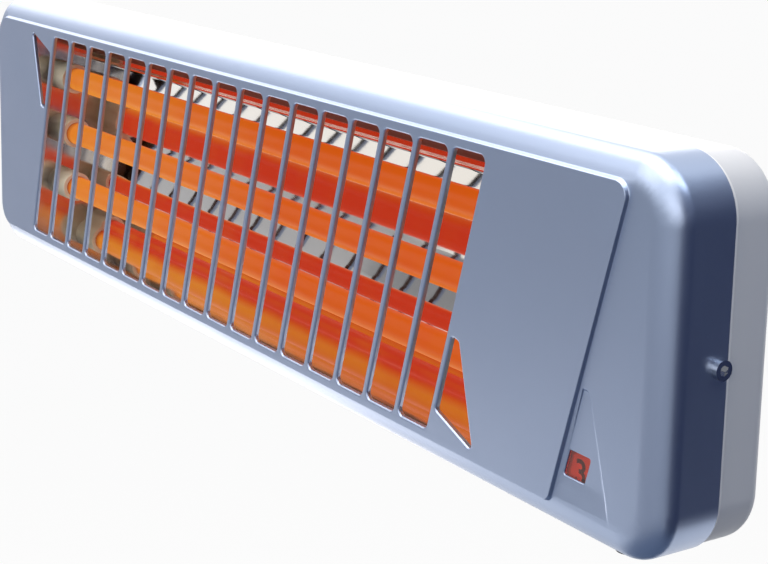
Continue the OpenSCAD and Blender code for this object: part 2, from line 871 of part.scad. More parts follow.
// Hat-shaped bracket between the switch and the shell's floor
module switch_bracket() {
    half = switch_w / 2 - switch_corner;
    color([0.70, 0.71, 0.73])
        difference() {
            across(switch_x - hat_l / 2, switch_x + hat_l / 2)
                translate([0, switch_z])
                    union() {
                        translate([y_switch_back, -half])
                            square([plate_t, 2 * half]);
                        for (s = SIDES) {
                            translate([y_switch_back, s > 0 ? half - plate_t : -half])
                                square([y_floor - y_switch_back, plate_t]);
                            translate([y_floor - plate_t, s > 0 ? half - EPS : -half - hat_foot])
                                square([plate_t, hat_foot + EPS]);
                        }
                    }
            for (s = SIDES)
                screw_hole_y(switch_x, switch_z + s * hat_screw_z, y_floor, y_floor - plate_t);
        }
}

// Lever with an eye for the pull cord, turning on the switch's boss
module pull_lever() {
    color([0.90, 0.88, 0.82])
        difference() {
            union() {
                rod_y(switch_x, switch_z, y_lever, y_lever_front, hub_r);
                slab(y_lever, y_lever_front)
                    translate([switch_x, switch_z])
                        rotate(lever_rest)
                            polygon(rounded([[0, -arm_root], [lever_l + arm_tip, -arm_tip],
                                             [lever_l + arm_tip, arm_tip], [0, arm_root]],
                                            [0.5, 3, 3, 0.5]));
            }
            rod_y(switch_x, switch_z, y_lever + OVER, y_lever_front - OVER, boss_r + running);
            rod_y(eye_x, switch_z + lever_l * sin(lever_rest), y_lever + OVER,
                  y_lever_front - OVER, eye_r);
        }
}

// Return spring round the boss: straight ends, square to the switch and the lever
function spring_point(turn, y) =
    [switch_x + spring_r * cos(360 * turn), y, switch_z + spring_r * sin(360 * turn)];

spring_coil = [for (i = [0:8 * spring_turns])
    spring_point(i / 8, y_lever + spring_wire + i / 8 * spring_pitch)];
spring_path = concat([spring_point(0, y_lever)], spring_coil, [spring_point(spring_turns, y_switch)]);

function path_gap(p, apart) =
    min([for (i = [0:len(p) - 1]) for (j = [i + apart:1:len(p) - 1]) norm(p[i] - p[j])]);

echo(least_gap_of_return_spring = path_gap(spring_coil, 5) - spring_wire);

module lever_spring() {
    color([0.70, 0.71, 0.73])
        swept(spring_path, spring_wire / 2, 6);
}

module number_disc() {
    color([0.86, 0.30, 0.16])
        difference() {
            rod_y(switch_x, switch_z, y_disc, y_disc - disc_t, disc_r);
            rod_y(switch_x, switch_z, y_disc + OVER, y_disc - disc_t - OVER, spindle_r - 1 + snug);
        }
}

module switch_spindle() {
    color([0.75, 0.76, 0.78])
        union() {
            rod_y(switch_x, switch_z, y_switch_back - spindle_seat - OVER, y_disc, spindle_r);
            rod_y(switch_x, switch_z, y_disc + EPS, y_disc - disc_t, spindle_r - 1);
        }
}

// ---- Openings and wiring ----

module pull_cord_bush() {
    color([0.92, 0.92, 0.90])
        difference() {
            union() {
                rod_z(eye_x, outlet_y, casing_bottom - bush_flange, casing_bottom,
                      outlet_r + 2 * bush_wall);
                rod_z(eye_x, outlet_y, casing_bottom - EPS, casing_bottom + sheet_t + bush_flange,
                      outlet_r + bush_wall);
            }
            rod_z(eye_x, outlet_y, casing_bottom - 2 * bush_flange,
                  casing_bottom + sheet_t + 2 * bush_flange, outlet_r);
        }
}

module cable_inlet_bush() {
    color([0.12, 0.12, 0.13])
        difference() {
            union() {
                rod_y(inlet_x, inlet_z, y_rear + 2 * bush_flange, y_rear, inlet_r + 2 * bush_wall);
                rod_y(inlet_x, inlet_z, y_rear + EPS, y_floor - bush_flange, inlet_r + bush_wall);
            }
            rod_y(inlet_x, inlet_z, y_rear + 3 * bush_flange, y_floor - 2 * bush_flange, inlet_r);
        }
}

// Bridge that grips the cable just inside its inlet
module cord_clamp() {
    color([0.90, 0.90, 0.88])
        difference() {
            translate([inlet_x - clamp_half - clamp_rim, y_floor - clamp_h, clamp_z - clamp_w / 2])
                cube([2 * (clamp_half + clamp_rim), clamp_h, clamp_w]);
            rod_z(inlet_x, y_floor, clamp_z - clamp_w, clamp_z + clamp_w, inlet_r + gap);
            for (s = SIDES)
                rod_y(inlet_x + s * clamp_half, clamp_z, y_floor + OVER, y_floor - clamp_h - OVER,
                      small_r + snug);
        }
}

module clamp_screws() {
    color([0.72, 0.72, 0.74])
        for (s = SIDES)
            screw_y(inlet_x + s * clamp_half, clamp_z, y_floor - clamp_h, true,
                    clamp_h + sheet_t + OVER);
}

module terminal_block() {
    color([0.93, 0.93, 0.90])
        difference() {
            translate([block_x - block_w / 2, y_floor - block_d, block_z - block_l / 2])
                cube([block_w, block_d, block_l]);
            for (z = pole_zs, s = SIDES)
                rod_y(block_x + s * block_w / 4, z, y_floor - block_d / 2,
                      y_floor - block_d - OVER, terminal_r + snug);
            for (z = pole_zs)
                rod_x(wire_y, z, block_x, block_x + block_w, terminal_r);
        }
}

module terminal_screws() {
    color([0.80, 0.66, 0.32])
        for (z = pole_zs, s = SIDES)
            difference() {
                rod_y(block_x + s * block_w / 4, z, y_floor - block_d / 2,
                      y_floor - block_d + screw_sink, terminal_r);
                translate([block_x + s * block_w / 4 - screw_slot_t / 2,
                           y_floor - block_d + screw_sink - OVER, z - 2 * terminal_r])
                    cube([screw_slot_t, 2 * OVER, 4 * terminal_r]);
            }
}

module earth_stud() {
    color([0.78, 0.68, 0.36])
        union() {
            rod_y(earth_x, earth_z, y_rear + stud_head_t, y_rear, 2 * stud_r);
            rod_y(earth_x, earth_z, y_rear + EPS, y_floor - stud_l, stud_r);
        }
}

module earth_nut() {
    color([0.78, 0.68, 0.36])
        difference() {
            translate([earth_x, y_floor, earth_z])
                rotate([90, 0, 0])
                    cylinder(h = stud_nut_t, r = 2 * stud_r, $fn = 6);
            rod_y(earth_x, earth_z, y_floor + OVER, y_floor - stud_nut_t - OVER, stud_r + running);
        }
}

// Screws that hold the supports, the shield, the saddles and the switch to the floor
module chassis_screws() {
    color([0.72, 0.72, 0.74])
        for (p = chassis_points)
            screw_y(p.x, p.y, y_floor - plate_t, true);
}

// ---- Wires ----

module wire(route, tint) {
    color(tint) swept(spline(route), wire_r);
}

// From the link bar at the left, behind the reflector, straight to the terminal block
module common_wire() {
    color([0.20, 0.35, 0.75])
        swept([for (i = [0:8]) [tube_mid - pin_out + i / 8 * (block_x - block_w / 2
               - tube_mid + pin_out), wire_y, block_z]], wire_r);
}

// From the terminal block to the thermal cut-out
module live_wire() {
    z_from = pole_zs[0];
    z_to = cutout_z + cutout_tab;
    wire([[block_x - block_w / 2, wire_y, z_from], [shield_right + wire_step, wire_y, z_from],
          [shield_x - wire_step / 2, wire_y, z_from],
          [cutout_end + 3 * wire_step, (wire_y + cutout_y) / 2, z_from - 2 * wire_step],
          [cutout_end + 2 * wire_step, cutout_y, z_to], [cutout_end + wire_step, cutout_y, z_to],
          [cutout_end, cutout_y, z_to]], [0.55, 0.30, 0.15]);
}

// Last three points of a wire that comes straight down on a switch tab
function onto_tab(i) = [for (k = [3, 1.5, 0]) [tab_xs[i], tab_y, tab_top + k * wire_step]];

// From the thermal cut-out to the switch's feed tab
module feed_wire() {
    wire(concat([[cutout_end, cutout_y, feed_z], [shield_x - wire_step, cutout_y, feed_z],
                 [shield_right + 2 * wire_step, cutout_y, feed_z],
                 [tab_xs[3] - 2.5 * wire_step, tab_y, tab_top + 5 * wire_step]],
                onto_tab(3)), [0.55, 0.30, 0.15]);
}

// First points of a wire that leaves a right-hand terminal straight through the shield
function off_terminal(z, steps) =
    [for (x = [wire_start, shield_x - wire_step, shield_right + wire_step,
               shield_right + steps * wire_step]) [x, y_tube, z]];

module stage_wire_upper() {
    wire(concat(off_terminal(tube_zs[0], 3),
                [[tab_xs[2] - 1.5 * wire_step, y_tube + wire_step, tab_top + 10 * wire_step]],
                onto_tab(2)), [0.75, 0.72, 0.68]);
}

module stage_wire_middle() {
    wire(concat(off_terminal(tube_zs[1], 2.5),
                [[tab_xs[1] - 1.5 * wire_step, y_tube + 1.5 * wire_step, tab_top + 4.5 * wire_step]],
                onto_tab(1)), [0.75, 0.72, 0.68]);
}

// Passes up in front of the switch body's left edge
module stage_wire_lower() {
    front = y_switch - wire_r - wire_step / 2;
    wire(concat(off_terminal(tube_zs[2], 1.5),
                [[tab_xs[0] - 2 * wire_step, front, switch_z + 2 * wire_step],
                 [tab_xs[0] - 1.75 * wire_step, front, switch_top - wire_step],
                 [tab_xs[0] - wire_step / 2, tab_y - 1.5 * wire_step, tab_top + 4 * wire_step]],
                onto_tab(0)), [0.75, 0.72, 0.68]);
}

// ---- Wall bracket and pivots ----

module wall_bracket() {
    arm_outline = rounded([[0, -bracket_h / 2], [0, bracket_h / 2], [-pivot_y - arm_r, arm_r],
                           [-pivot_y - arm_r, -arm_r]], ear_radii);
    color([0.80, 0.81, 0.84])
        difference() {
            union() {
                translate([-arm_x - bracket_t / 2, -bracket_t, -bracket_h / 2])
                    cube([bracket_w + bracket_t, bracket_t, bracket_h]);
                for (x = [-arm_x - bracket_t, arm_x])
                    across(x, x + bracket_t)
                        polygon(arm_outline);
            }
            for (s = SIDES) {
                for (end = SIDES)
                    rod_y(s * screw_spacing / 2 + end * slot_half, 0, OVER, -bracket_t - OVER,
                          screw_slot_w / 2);
                slab(OVER, -bracket_t - OVER)
                    translate([s * screw_spacing / 2, 0])
                        square([2 * slot_half, screw_slot_w], center = true);
            }
            rod_x(-pivot_y, 0, -arm_x - 2 * bracket_t, arm_x + 2 * bracket_t, bolt_r + running);
        }
}

module pivot_lug() {
    ear = rounded([[y_rear, -lug_h / 2], [y_rear, lug_h / 2], [-pivot_y + arm_r, arm_r],
                   [-pivot_y + arm_r, -arm_r]], ear_radii);
    difference() {
        union() {
            across(lug_x - lug_t, lug_x)
                polygon(ear);
            translate([lug_x - lug_foot, y_rear, -lug_h / 2])
                cube([lug_foot - lug_t + EPS, lug_t, lug_h]);
        }
        rod_x(-pivot_y, 0, lug_x - 2 * lug_t, lug_x + OVER, bolt_r + running);
        for (s = SIDES)
            screw_hole_y(lug_screw_x, s * lug_screw_z, y_rear + lug_t, y_rear);
    }
}

module pivot_lug_left() {
    color([0.80, 0.81, 0.84]) mirror([1, 0, 0]) pivot_lug();
}

module pivot_lug_right() {
    color([0.80, 0.81, 0.84]) pivot_lug();
}

module lug_screws() {
    color([0.72, 0.72, 0.74])
        for (sx = SIDES, sz = SIDES)
            screw_y(sx * lug_screw_x, sz * lug_screw_z, y_rear + lug_t, false, lug_screw_l);
}

module both_pivots() {
    for (s = SIDES)
        mirror([s > 0 ? 0 : 1, 0, 0])
            children();
}

module pivot_bolts() {
    head_x = lug_x - lug_t;
    nut_x = arm_x + bracket_t + washer_t;
    color([0.75, 0.76, 0.78])
        both_pivots()
            union() {
                hex(-pivot_y, 0, head_x - head_h, head_x, nut_r);
                rod_x(-pivot_y, 0, head_x - EPS, nut_x + nut_h + 2, bolt_r);
            }
}

module pivot_washers() {
    color([0.75, 0.76, 0.78])
        both_pivots()
            for (x = [lug_x, arm_x + bracket_t])
                difference() {
                    rod_x(-pivot_y, 0, x, x + washer_t, washer_r);
                    rod_x(-pivot_y, 0, x - OVER, x + washer_t + OVER, bolt_r + running);
                }
}

module pivot_nuts() {
    nut_x = arm_x + bracket_t + washer_t;
    color([0.75, 0.76, 0.78])
        both_pivots()
            difference() {
                hex(-pivot_y, 0, nut_x, nut_x + nut_h, nut_r);
                rod_x(-pivot_y, 0, nut_x - OVER, nut_x + nut_h + OVER, bolt_r + running);
            }
}

// ---- Assembly ----

front_cover();
back_shell();
reflector();
tube_support_left();
tube_support_right();
heat_shield();
reflector_saddles();
quartz_tube(tube_zs[0]);  // quartz_tube_upper
quartz_tube(tube_zs[1]);  // quartz_tube_middle
quartz_tube(tube_zs[2]);  // quartz_tube_lower
heating_coil(tube_zs[0]);  // heating_coil_upper
heating_coil(tube_zs[1]);  // heating_coil_middle
heating_coil(tube_zs[2]);  // heating_coil_lower
ceramic_cap(-1, tube_zs[0]);  // ceramic_cap_left_upper
ceramic_cap(-1, tube_zs[1]);  // ceramic_cap_left_middle
ceramic_cap(-1, tube_zs[2]);  // ceramic_cap_left_lower
ceramic_cap(1, tube_zs[0]);  // ceramic_cap_right_upper
ceramic_cap(1, tube_zs[1]);  // ceramic_cap_right_middle
ceramic_cap(1, tube_zs[2]);  // ceramic_cap_right_lower
cap_clips_left();
cap_clips_right();
tube_terminals_left();
tube_terminals_right();
link_bar();
thermal_cutout();
switch_body();
switch_tabs();
switch_bracket();
pull_lever();
lever_spring();
number_disc();
switch_spindle();
window_lens();
pull_cord_bush();
terminal_block();
terminal_screws();
cable_inlet_bush();
cord_clamp();
clamp_screws();
earth_stud();
earth_nut();
side_screws();
side_nuts();
chassis_screws();
wall_bracket();
pivot_lug_left();
pivot_lug_right();
lug_screws();
pivot_bolts();
pivot_washers();
pivot_nuts();
common_wire();
live_wire();
feed_wire();
stage_wire_upper();
stage_wire_middle();
stage_wire_lower();
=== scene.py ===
# Wall-mounted electric bar heater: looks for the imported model, in the model's frame. Named sizes
# are in millimetres, as in the part's source, and each mesh is scaled to metres when it is done.
# The stage, the lamps, the camera and the materials are in metres.
import math

import bmesh
import bpy
import numpy as np
from mathutils import Matrix, Vector
from mathutils.geometry import delaunay_2d_cdt


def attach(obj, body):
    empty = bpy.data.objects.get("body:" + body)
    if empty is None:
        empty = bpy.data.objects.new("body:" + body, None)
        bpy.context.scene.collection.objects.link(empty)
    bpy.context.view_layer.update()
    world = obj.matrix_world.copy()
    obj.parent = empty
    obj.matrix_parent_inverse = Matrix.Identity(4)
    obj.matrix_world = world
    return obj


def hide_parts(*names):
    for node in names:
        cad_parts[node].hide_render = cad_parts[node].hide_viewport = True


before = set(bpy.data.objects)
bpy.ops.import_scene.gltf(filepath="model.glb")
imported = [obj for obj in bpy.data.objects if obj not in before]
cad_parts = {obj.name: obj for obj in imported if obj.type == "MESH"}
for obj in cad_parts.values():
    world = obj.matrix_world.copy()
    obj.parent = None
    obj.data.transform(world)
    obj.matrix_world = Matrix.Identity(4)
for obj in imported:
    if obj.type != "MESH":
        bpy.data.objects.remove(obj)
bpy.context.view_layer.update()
scene = bpy.context.scene
scene.view_settings.view_transform = "Standard"


# ---- Camera ----
# It stands close to the right end, a little above the casing, and looks along the grille. The
# small vertical shift keeps the casing's short edges upright, as the photograph has them.

CAMERA_PLACE = (0.6819, -0.4707, 0.1718)
CAMERA_YAW, CAMERA_PITCH, CAMERA_ROLL = 0.9775, -0.1916, 0.0237
CAMERA_LENS, CAMERA_SHIFT = 82.22, -0.15

camera_data = bpy.data.cameras.new("camera")
camera_data.sensor_width = 36.0
camera_data.lens = CAMERA_LENS
camera_data.shift_y = CAMERA_SHIFT
camera_data.clip_start = 0.01
camera = bpy.data.objects.new("camera", camera_data)
scene.collection.objects.link(camera)
camera.rotation_mode = "QUATERNION"
camera.rotation_quaternion = (
    Matrix.Rotation(CAMERA_YAW, 3, "Z")
    @ Matrix.Rotation(math.pi / 2 + CAMERA_PITCH, 3, "X")
    @ Matrix.Rotation(CAMERA_ROLL, 3, "Z")
).to_quaternion()
camera.location = CAMERA_PLACE
scene.camera = camera


# ---- Front cover ----
# One deep-drawn steel pressing with the raised panel, the recess round the window and the
# slots, whose edges are turned in. It is sprayed in a fine silver-blue metallic paint.

MM = 0.001
WELD, SAME_POINT = 1e-4, 1e-5
CASING_L, CASING_H, CORNER_R = 574.0, 140.0, 22.0
CASING_ARC, PANEL_ARC, SLOT_ARC, WINDOW_ARC, RECESS_ARC = 20, 10, 6, 5, 8
COVER_EDGE_STEPS, INNER_EDGE_STEPS, PANEL_STEPS, RECESS_STEPS = 10, 4, 6, 4
SLOT_LIP_STEPS, WINDOW_LIP_STEPS = 5, 4
SHEET_T = 1.2
COVER_FACE, COVER_SEAM = -92.5, -66.5
COVER_EDGE_REACH, COVER_EDGE_DEPTH = 12.5, 8.5
PANEL_Y, PANEL_RAMP, EMBOSS_RAMP = -94.0, 1.0, 1.2
PANEL_CORNERS = [(-276.1, -60.1), (230.39, -60.1), (265.01, 60.1), (-276.1, 60.1)]
PANEL_RADII = [12.0, 3.0, 5.0, 12.0]
RECESS_Y, RECESS_RAMP, RECESS_TIP_R, RECESS_TOP_L = -91.9, 1.3, 3.2, 1.5
RECESS_CORNER, RECESS_FOOT = (249.3, -14.4), (265.7, -69.9)
RUN_OUT_LOW, RUN_OUT_HIGH, RUN_OUT_LINES = -60.0, -47.0, 6
RUN_OUT_LEFT, RUN_OUT_RIGHT = 256.7, 266.7
SLANT = 0.288
SLOT_COUNT, GRILLE_MID = 17, -20.8
SLOT_PITCH, SLOT_W, SLOT_TOP, SLOT_R = 22.9, 19.8, 56.25, 2.6
SLOT_LIP, SLOT_DEPTH = 0.95, 2.1
WING_CORNERS = [(182.68, -46.94), (206.68, -56.25), (196.35, -16.44), (191.75, -15.44)]
WING_RADII = [1.4, 1.4, 1.6, 1.6]
WINDOW_MID, WINDOW_W, WINDOW_H, WINDOW_R = (243.6, -43.7), 11.2, 9.8, 0.8
WINDOW_LIP, WINDOW_PAD, WINDOW_PAD_RAMP = 0.5, 2.0, 1.0
SIDE_SCREW_Y, SIDE_HOLE_R = -70.1, 2.1
CORD_HOLE, CORD_HOLE_R = (258.38, -79.2), 3.3
ROUND_HOLE_SIDES = 32


def box_corners(length, height):
    """Corners of an upright box round the middle, anticlockwise from the lower left."""
    return [(-length / 2, -height / 2), (length / 2, -height / 2),
            (length / 2, height / 2), (-length / 2, height / 2)]


def corner_arcs(corners, radii):
    """Centre, radius and the two outward side normals at each corner, anticlockwise."""
    arcs = []
    for i, corner in enumerate(corners):
        here = Vector(corner)
        into = (here - Vector(corners[i - 1])).normalized()
        out = (Vector(corners[(i + 1) % len(corners)]) - here).normalized()
        n_in, n_out = Vector((into.y, -into.x)), Vector((out.y, -out.x))
        centre = here - radii[i] * (n_in + n_out) / (1 + n_in.dot(n_out))
        arcs.append((centre, radii[i], n_in, n_out))
    return arcs


def outline_ring(corners, radii, grow, steps):
    """Points of an outline with round corners, grown outward by a distance."""
    points = []
    for centre, radius, n_in, n_out in corner_arcs(corners, radii):
        start = math.atan2(n_in.y, n_in.x)
        turn = (math.atan2(n_out.y, n_out.x) - start) % (2 * math.pi)
        for k in range(steps + 1):
            a = start + turn * k / steps
            points.append((centre.x + (radius + grow) * math.cos(a),
                           centre.y + (radius + grow) * math.sin(a)))
    return points


def outline_distance(points, corners, radii):
    """Distance of points outside an outline with round corners, negative inside."""
    best = np.full(len(points), -1e9)
    arcs = corner_arcs(corners, radii)
    for corner, (centre, radius, n_in, n_out) in zip(corners, arcs):
        best = np.maximum(best, (points - np.array(corner)) @ np.array(n_out))
    for centre, radius, n_in, n_out in arcs:
        rel = points - np.array(centre)
        in_cone = (n_in.x * rel[:, 1] - n_in.y * rel[:, 0] >= 0) & (
            rel[:, 0] * n_out.y - rel[:, 1] * n_out.x >= 0)
        best = np.where(in_cone, np.hypot(rel[:, 0], rel[:, 1]) - radius, best)
    return best


def ease(t):
    """A smooth step from 0 to 1 while t runs from 0 to 1."""
    t = np.clip(t, 0.0, 1.0)
    return t * t * (3 - 2 * t)


def round_over(distance, reach, depth):
    """Depth of an elliptical rounded edge at a distance in from its wall."""
    left = np.clip(1 - distance / reach, 0.0, 1.0)
    return depth * (1 - np.sqrt(1 - left * left))


def round_steps(reach, steps):
    """Distances in from a wall, close together where its rounded edge is steepest."""
    return [reach * (1 - math.cos(math.pi / 2 * k / steps)) for k in range(steps + 1)]


def triangulate(outline, holes, rings, lines=()):
    """Triangles between an outline and its holes, with edges along every ring and line."""
    points, edges, faces = [], [], []

    def add(loop, closed=True):
        """Takes up a line, or a ring turned anticlockwise, and returns its points' numbers."""
        first = len(points)
        if closed and sum(loop[k - 1][0] * loop[k][1] - loop[k][0] * loop[k - 1][1]
                          for k in range(len(loop))) < 0:
            loop = loop[::-1]
        points.extend(Vector(p) for p in loop)
        ids = list(range(first, first + len(loop)))
        if closed:
            edges.extend(zip(ids, ids[1:] + ids[:1]))
        else:
            edges.extend(zip(ids, ids[1:]))
        return ids

    faces.append(add(outline))
    for hole in holes:
        faces.append(add(hole))
    for ring in rings:
        add(ring)
    for line in lines:
        add(line, closed=False)
    out_points, _, out_faces, _, _, origins = delaunay_2d_cdt(points, edges, faces, 0, SAME_POINT)
    # A triangle that stems from the outline alone, number 0, is in no hole.
    kept = [face for face, origin in zip(out_faces, origins) if origin and set(origin) == {0}]
    return np.array([tuple(p) for p in out_points]), kept


slots = []
lean = SLANT * SLOT_TOP
for i in range(SLOT_COUNT):
    x = GRILLE_MID + (i - SLOT_COUNT // 2) * SLOT_PITCH
    slots.append(([(x - SLOT_W / 2 - lean, -SLOT_TOP), (x + SLOT_W / 2 - lean, -SLOT_TOP),
                   (x + SLOT_W / 2 + lean, SLOT_TOP), (x - SLOT_W / 2 + lean, SLOT_TOP)],
                  [SLOT_R] * 4))
for side in (1, -1):
    slots.append(([(GRILLE_MID + side * px, side * pz) for px, pz in WING_CORNERS], WING_RADII))
window_corners = [(WINDOW_MID[0] + px + SLANT * pz, WINDOW_MID[1] + pz)
                  for px, pz in box_corners(WINDOW_W, WINDOW_H)]
window_radii = [WINDOW_R] * 4
casing_corners, casing_radii = box_corners(CASING_L, CASING_H), [CORNER_R] * 4
inner_corners = box_corners(CASING_L - 2 * SHEET_T, CASING_H - 2 * SHEET_T)
inner_radii = [CORNER_R - SHEET_T] * 4
recess_down = (Vector(RECESS_FOOT) - Vector(RECESS_CORNER)).normalized()
recess_out = Vector((-recess_down.y, recess_down.x))


def recess_line(inset):
    """The recess's top edge, round corner and slanted edge, moved inward."""
    radius = RECESS_TIP_R - inset
    up = Vector((0, 1))
    centre = Vector(RECESS_CORNER) - RECESS_TIP_R * (up + recess_out) / (1 + up.dot(recess_out))
    last = math.atan2(recess_out.y, recess_out.x)
    turns = [math.pi / 2 + (last - math.pi / 2) * k / RECESS_ARC for k in range(RECESS_ARC + 1)]
    arc = [(centre.x + radius * math.cos(a), centre.y + radius * math.sin(a)) for a in turns]
    foot = Vector(arc[-1]) + recess_down * (arc[-1][1] - RECESS_FOOT[1]) / -recess_down.y
    return [(centre.x - RECESS_TOP_L, centre.y + radius)] + arc + [tuple(foot)]


def recess_weight(points):
    """1 on the floor of the window recess, 0 outside it, with a soft shoulder between."""
    rel = points - np.array(RECESS_CORNER)
    from_edge, from_top = -(rel @ np.array(recess_out)), -rel[:, 1]
    centre = Vector(recess_line(0.0)[0]) + Vector((RECESS_TOP_L, -RECESS_TIP_R))
    in_corner = (points[:, 0] > centre.x) & ((points - np.array(centre)) @ np.array(
        (-recess_down.x, -recess_down.y)) > 0)
    round_corner = RECESS_TIP_R - np.hypot(*(points - np.array(centre)).T)
    inside = np.where(in_corner, round_corner, np.minimum(from_edge, from_top))
    return ease(inside / RECESS_RAMP)


def cover_front(points):
    """Depth of the cover's outside. The recess runs out towards the rounded lower edge."""
    inward = -outline_distance(points, casing_corners, casing_radii)
    y = COVER_FACE + round_over(inward, COVER_EDGE_REACH, COVER_EDGE_DEPTH)
    run_out = ease((points[:, 1] - RUN_OUT_LOW) / (RUN_OUT_HIGH - RUN_OUT_LOW))
    y = y + recess_weight(points) * run_out * np.maximum(0.0, RECESS_Y - y)
    raised = 1 - ease(outline_distance(points, PANEL_CORNERS, PANEL_RADII) / PANEL_RAMP)
    y = y + raised * (PANEL_Y - y)
    for corners, radii, lip in [(*slot, SLOT_LIP) for slot in slots] + [
            (window_corners, window_radii, WINDOW_LIP)]:
        y = y + round_over(np.maximum(0.0, outline_distance(points, corners, radii)), lip, lip)
    return y


def cover_inside(points):
    """Depth of the cover's inside: one sheet behind the front, deeper where the slots turn in."""
    inward = -outline_distance(points, inner_corners, inner_radii)
    y = COVER_FACE + SHEET_T + round_over(inward, COVER_EDGE_REACH - SHEET_T,
                                          COVER_EDGE_DEPTH - SHEET_T)
    from_panel = outline_distance(points, PANEL_CORNERS, PANEL_RADII)
    raised = 1 - ease((from_panel + SHEET_T) / EMBOSS_RAMP)
    y = y + raised * (PANEL_Y + SLOT_DEPTH - y)
    from_pad = outline_distance(points, window_corners, window_radii) - WINDOW_PAD
    near_window = 1 - ease(from_pad / WINDOW_PAD_RAMP)
    return y + near_window * (RECESS_Y + SHEET_T - y)


def add_surface(mesh, points, faces, depth, front):
    """Vertices and faces of one height field, facing forward or back."""
    ids = [mesh.verts.new((x, y, z)) for (x, z), y in zip(points, depth)]
    for face in faces:
        loop = [ids[k] for k in face]
        (ax, _, az), (bx, _, bz), (cx, _, cz) = (v.co for v in loop[:3])
        turns_left = (bx - ax) * (cz - az) - (bz - az) * (cx - ax) > 0
        mesh.faces.new(loop if turns_left == front else loop[::-1])
    return ids


def ring_ids(ids, points, ring):
    """The vertices of a height field that stand on a ring's points."""
    lookup = {(round(x, 4), round(z, 4)): k for k, (x, z) in enumerate(points)}
    found = []
    for x, z in ring:
        k = lookup.get((round(x, 4), round(z, 4)))
        if k is None:
            k = int(np.argmin((points[:, 0] - x) ** 2 + (points[:, 1] - z) ** 2))
        if not found or ids[k] is not found[-1]:
            found.append(ids[k])
    if found[0] is found[-1]:
        found.pop()
    return found


def band(mesh, loop_a, loop_b):
    """Quads between two closed loops with the same number of vertices."""
    n = len(loop_a)
    for k in range(n):
        mesh.faces.new((loop_a[k], loop_a[(k + 1) % n], loop_b[(k + 1) % n], loop_b[k]))


def finish_mesh(mesh, name, sharp_angle=38.0):
    """A metre-sized object, smooth but for edges sharper than the angle."""
    bmesh.ops.remove_doubles(mesh, verts=mesh.verts, dist=WELD)
    bmesh.ops.dissolve_degenerate(mesh, edges=mesh.edges, dist=WELD)
    bmesh.ops.recalc_face_normals(mesh, faces=mesh.faces)
    limit = math.radians(sharp_angle)
    for face in mesh.faces:
        face.smooth = True
    for edge in mesh.edges:
        edge.smooth = len(edge.link_faces) == 2 and edge.calc_face_angle(0.0) < limit
    bmesh.ops.scale(mesh, vec=(MM, MM, MM), verts=mesh.verts)
    data = bpy.data.meshes.new(name)
    mesh.to_mesh(data)
    mesh.free()
    piece = bpy.data.objects.new(name, data)
    scene.collection.objects.link(piece)
    shading = piece.modifiers.new("even shading", "WEIGHTED_NORMAL")
    shading.keep_sharp = True
    shading.weight = 100
    return piece


outer_rings = [outline_ring(casing_corners, casing_radii, -d, CASING_ARC)
               for d in round_steps(COVER_EDGE_REACH, COVER_EDGE_STEPS)]
panel_rings = [outline_ring(PANEL_CORNERS, PANEL_RADII, PANEL_RAMP * k / PANEL_STEPS, PANEL_ARC)
               for k in range(PANEL_STEPS + 1)]
slot_rings = [outline_ring(corners, radii, grow, SLOT_ARC)
              for corners, radii in slots for grow in round_steps(SLOT_LIP, SLOT_LIP_STEPS)]
window_rings = [outline_ring(window_corners, window_radii, grow, WINDOW_ARC)
                for grow in round_steps(WINDOW_LIP, WINDOW_LIP_STEPS)]
openings = [outline_ring(corners, radii, 0.0, SLOT_ARC) for corners, radii in slots]
openings.append(outline_ring(window_corners, window_radii, 0.0, WINDOW_ARC))
recess_lines = [recess_line(RECESS_RAMP * k / RECESS_STEPS) for k in range(RECESS_STEPS + 1)]
recess_lines += [[(RUN_OUT_LEFT, z), (RUN_OUT_RIGHT, z)]
                 for z in np.linspace(RUN_OUT_LOW, RUN_OUT_HIGH, RUN_OUT_LINES)]

cover_mesh = bmesh.new()
points, faces = triangulate(outer_rings[0], openings,
                            outer_rings[1:] + panel_rings + slot_rings + window_rings,
                            recess_lines)
front_ids = add_surface(cover_mesh, points, faces, cover_front(points), True)
inner_rings = [outline_ring(inner_corners, inner_radii, -d, CASING_ARC)
               for d in round_steps(COVER_EDGE_REACH - SHEET_T, INNER_EDGE_STEPS)]
emboss_rings = [outline_ring(PANEL_CORNERS, PANEL_RADII, d - SHEET_T, PANEL_ARC)
                for d in (0.0, EMBOSS_RAMP / 2, EMBOSS_RAMP)]
pad_rings = [outline_ring(window_corners, window_radii, d, WINDOW_ARC)
             for d in (WINDOW_PAD, WINDOW_PAD + WINDOW_PAD_RAMP)]
in_points, in_faces = triangulate(inner_rings[0], openings,
                                  inner_rings[1:] + emboss_rings + pad_rings)
inner_ids = add_surface(cover_mesh, in_points, in_faces, cover_inside(in_points), False)
for ring in openings:
    band(cover_mesh, ring_ids(front_ids, points, ring), ring_ids(inner_ids, in_points, ring))


def circle_points(across, up, radius, sides):
    """A circle's points round a middle."""
    return [(across + radius * math.cos(2 * math.pi * k / sides),
             up + radius * math.sin(2 * math.pi * k / sides)) for k in range(sides)]


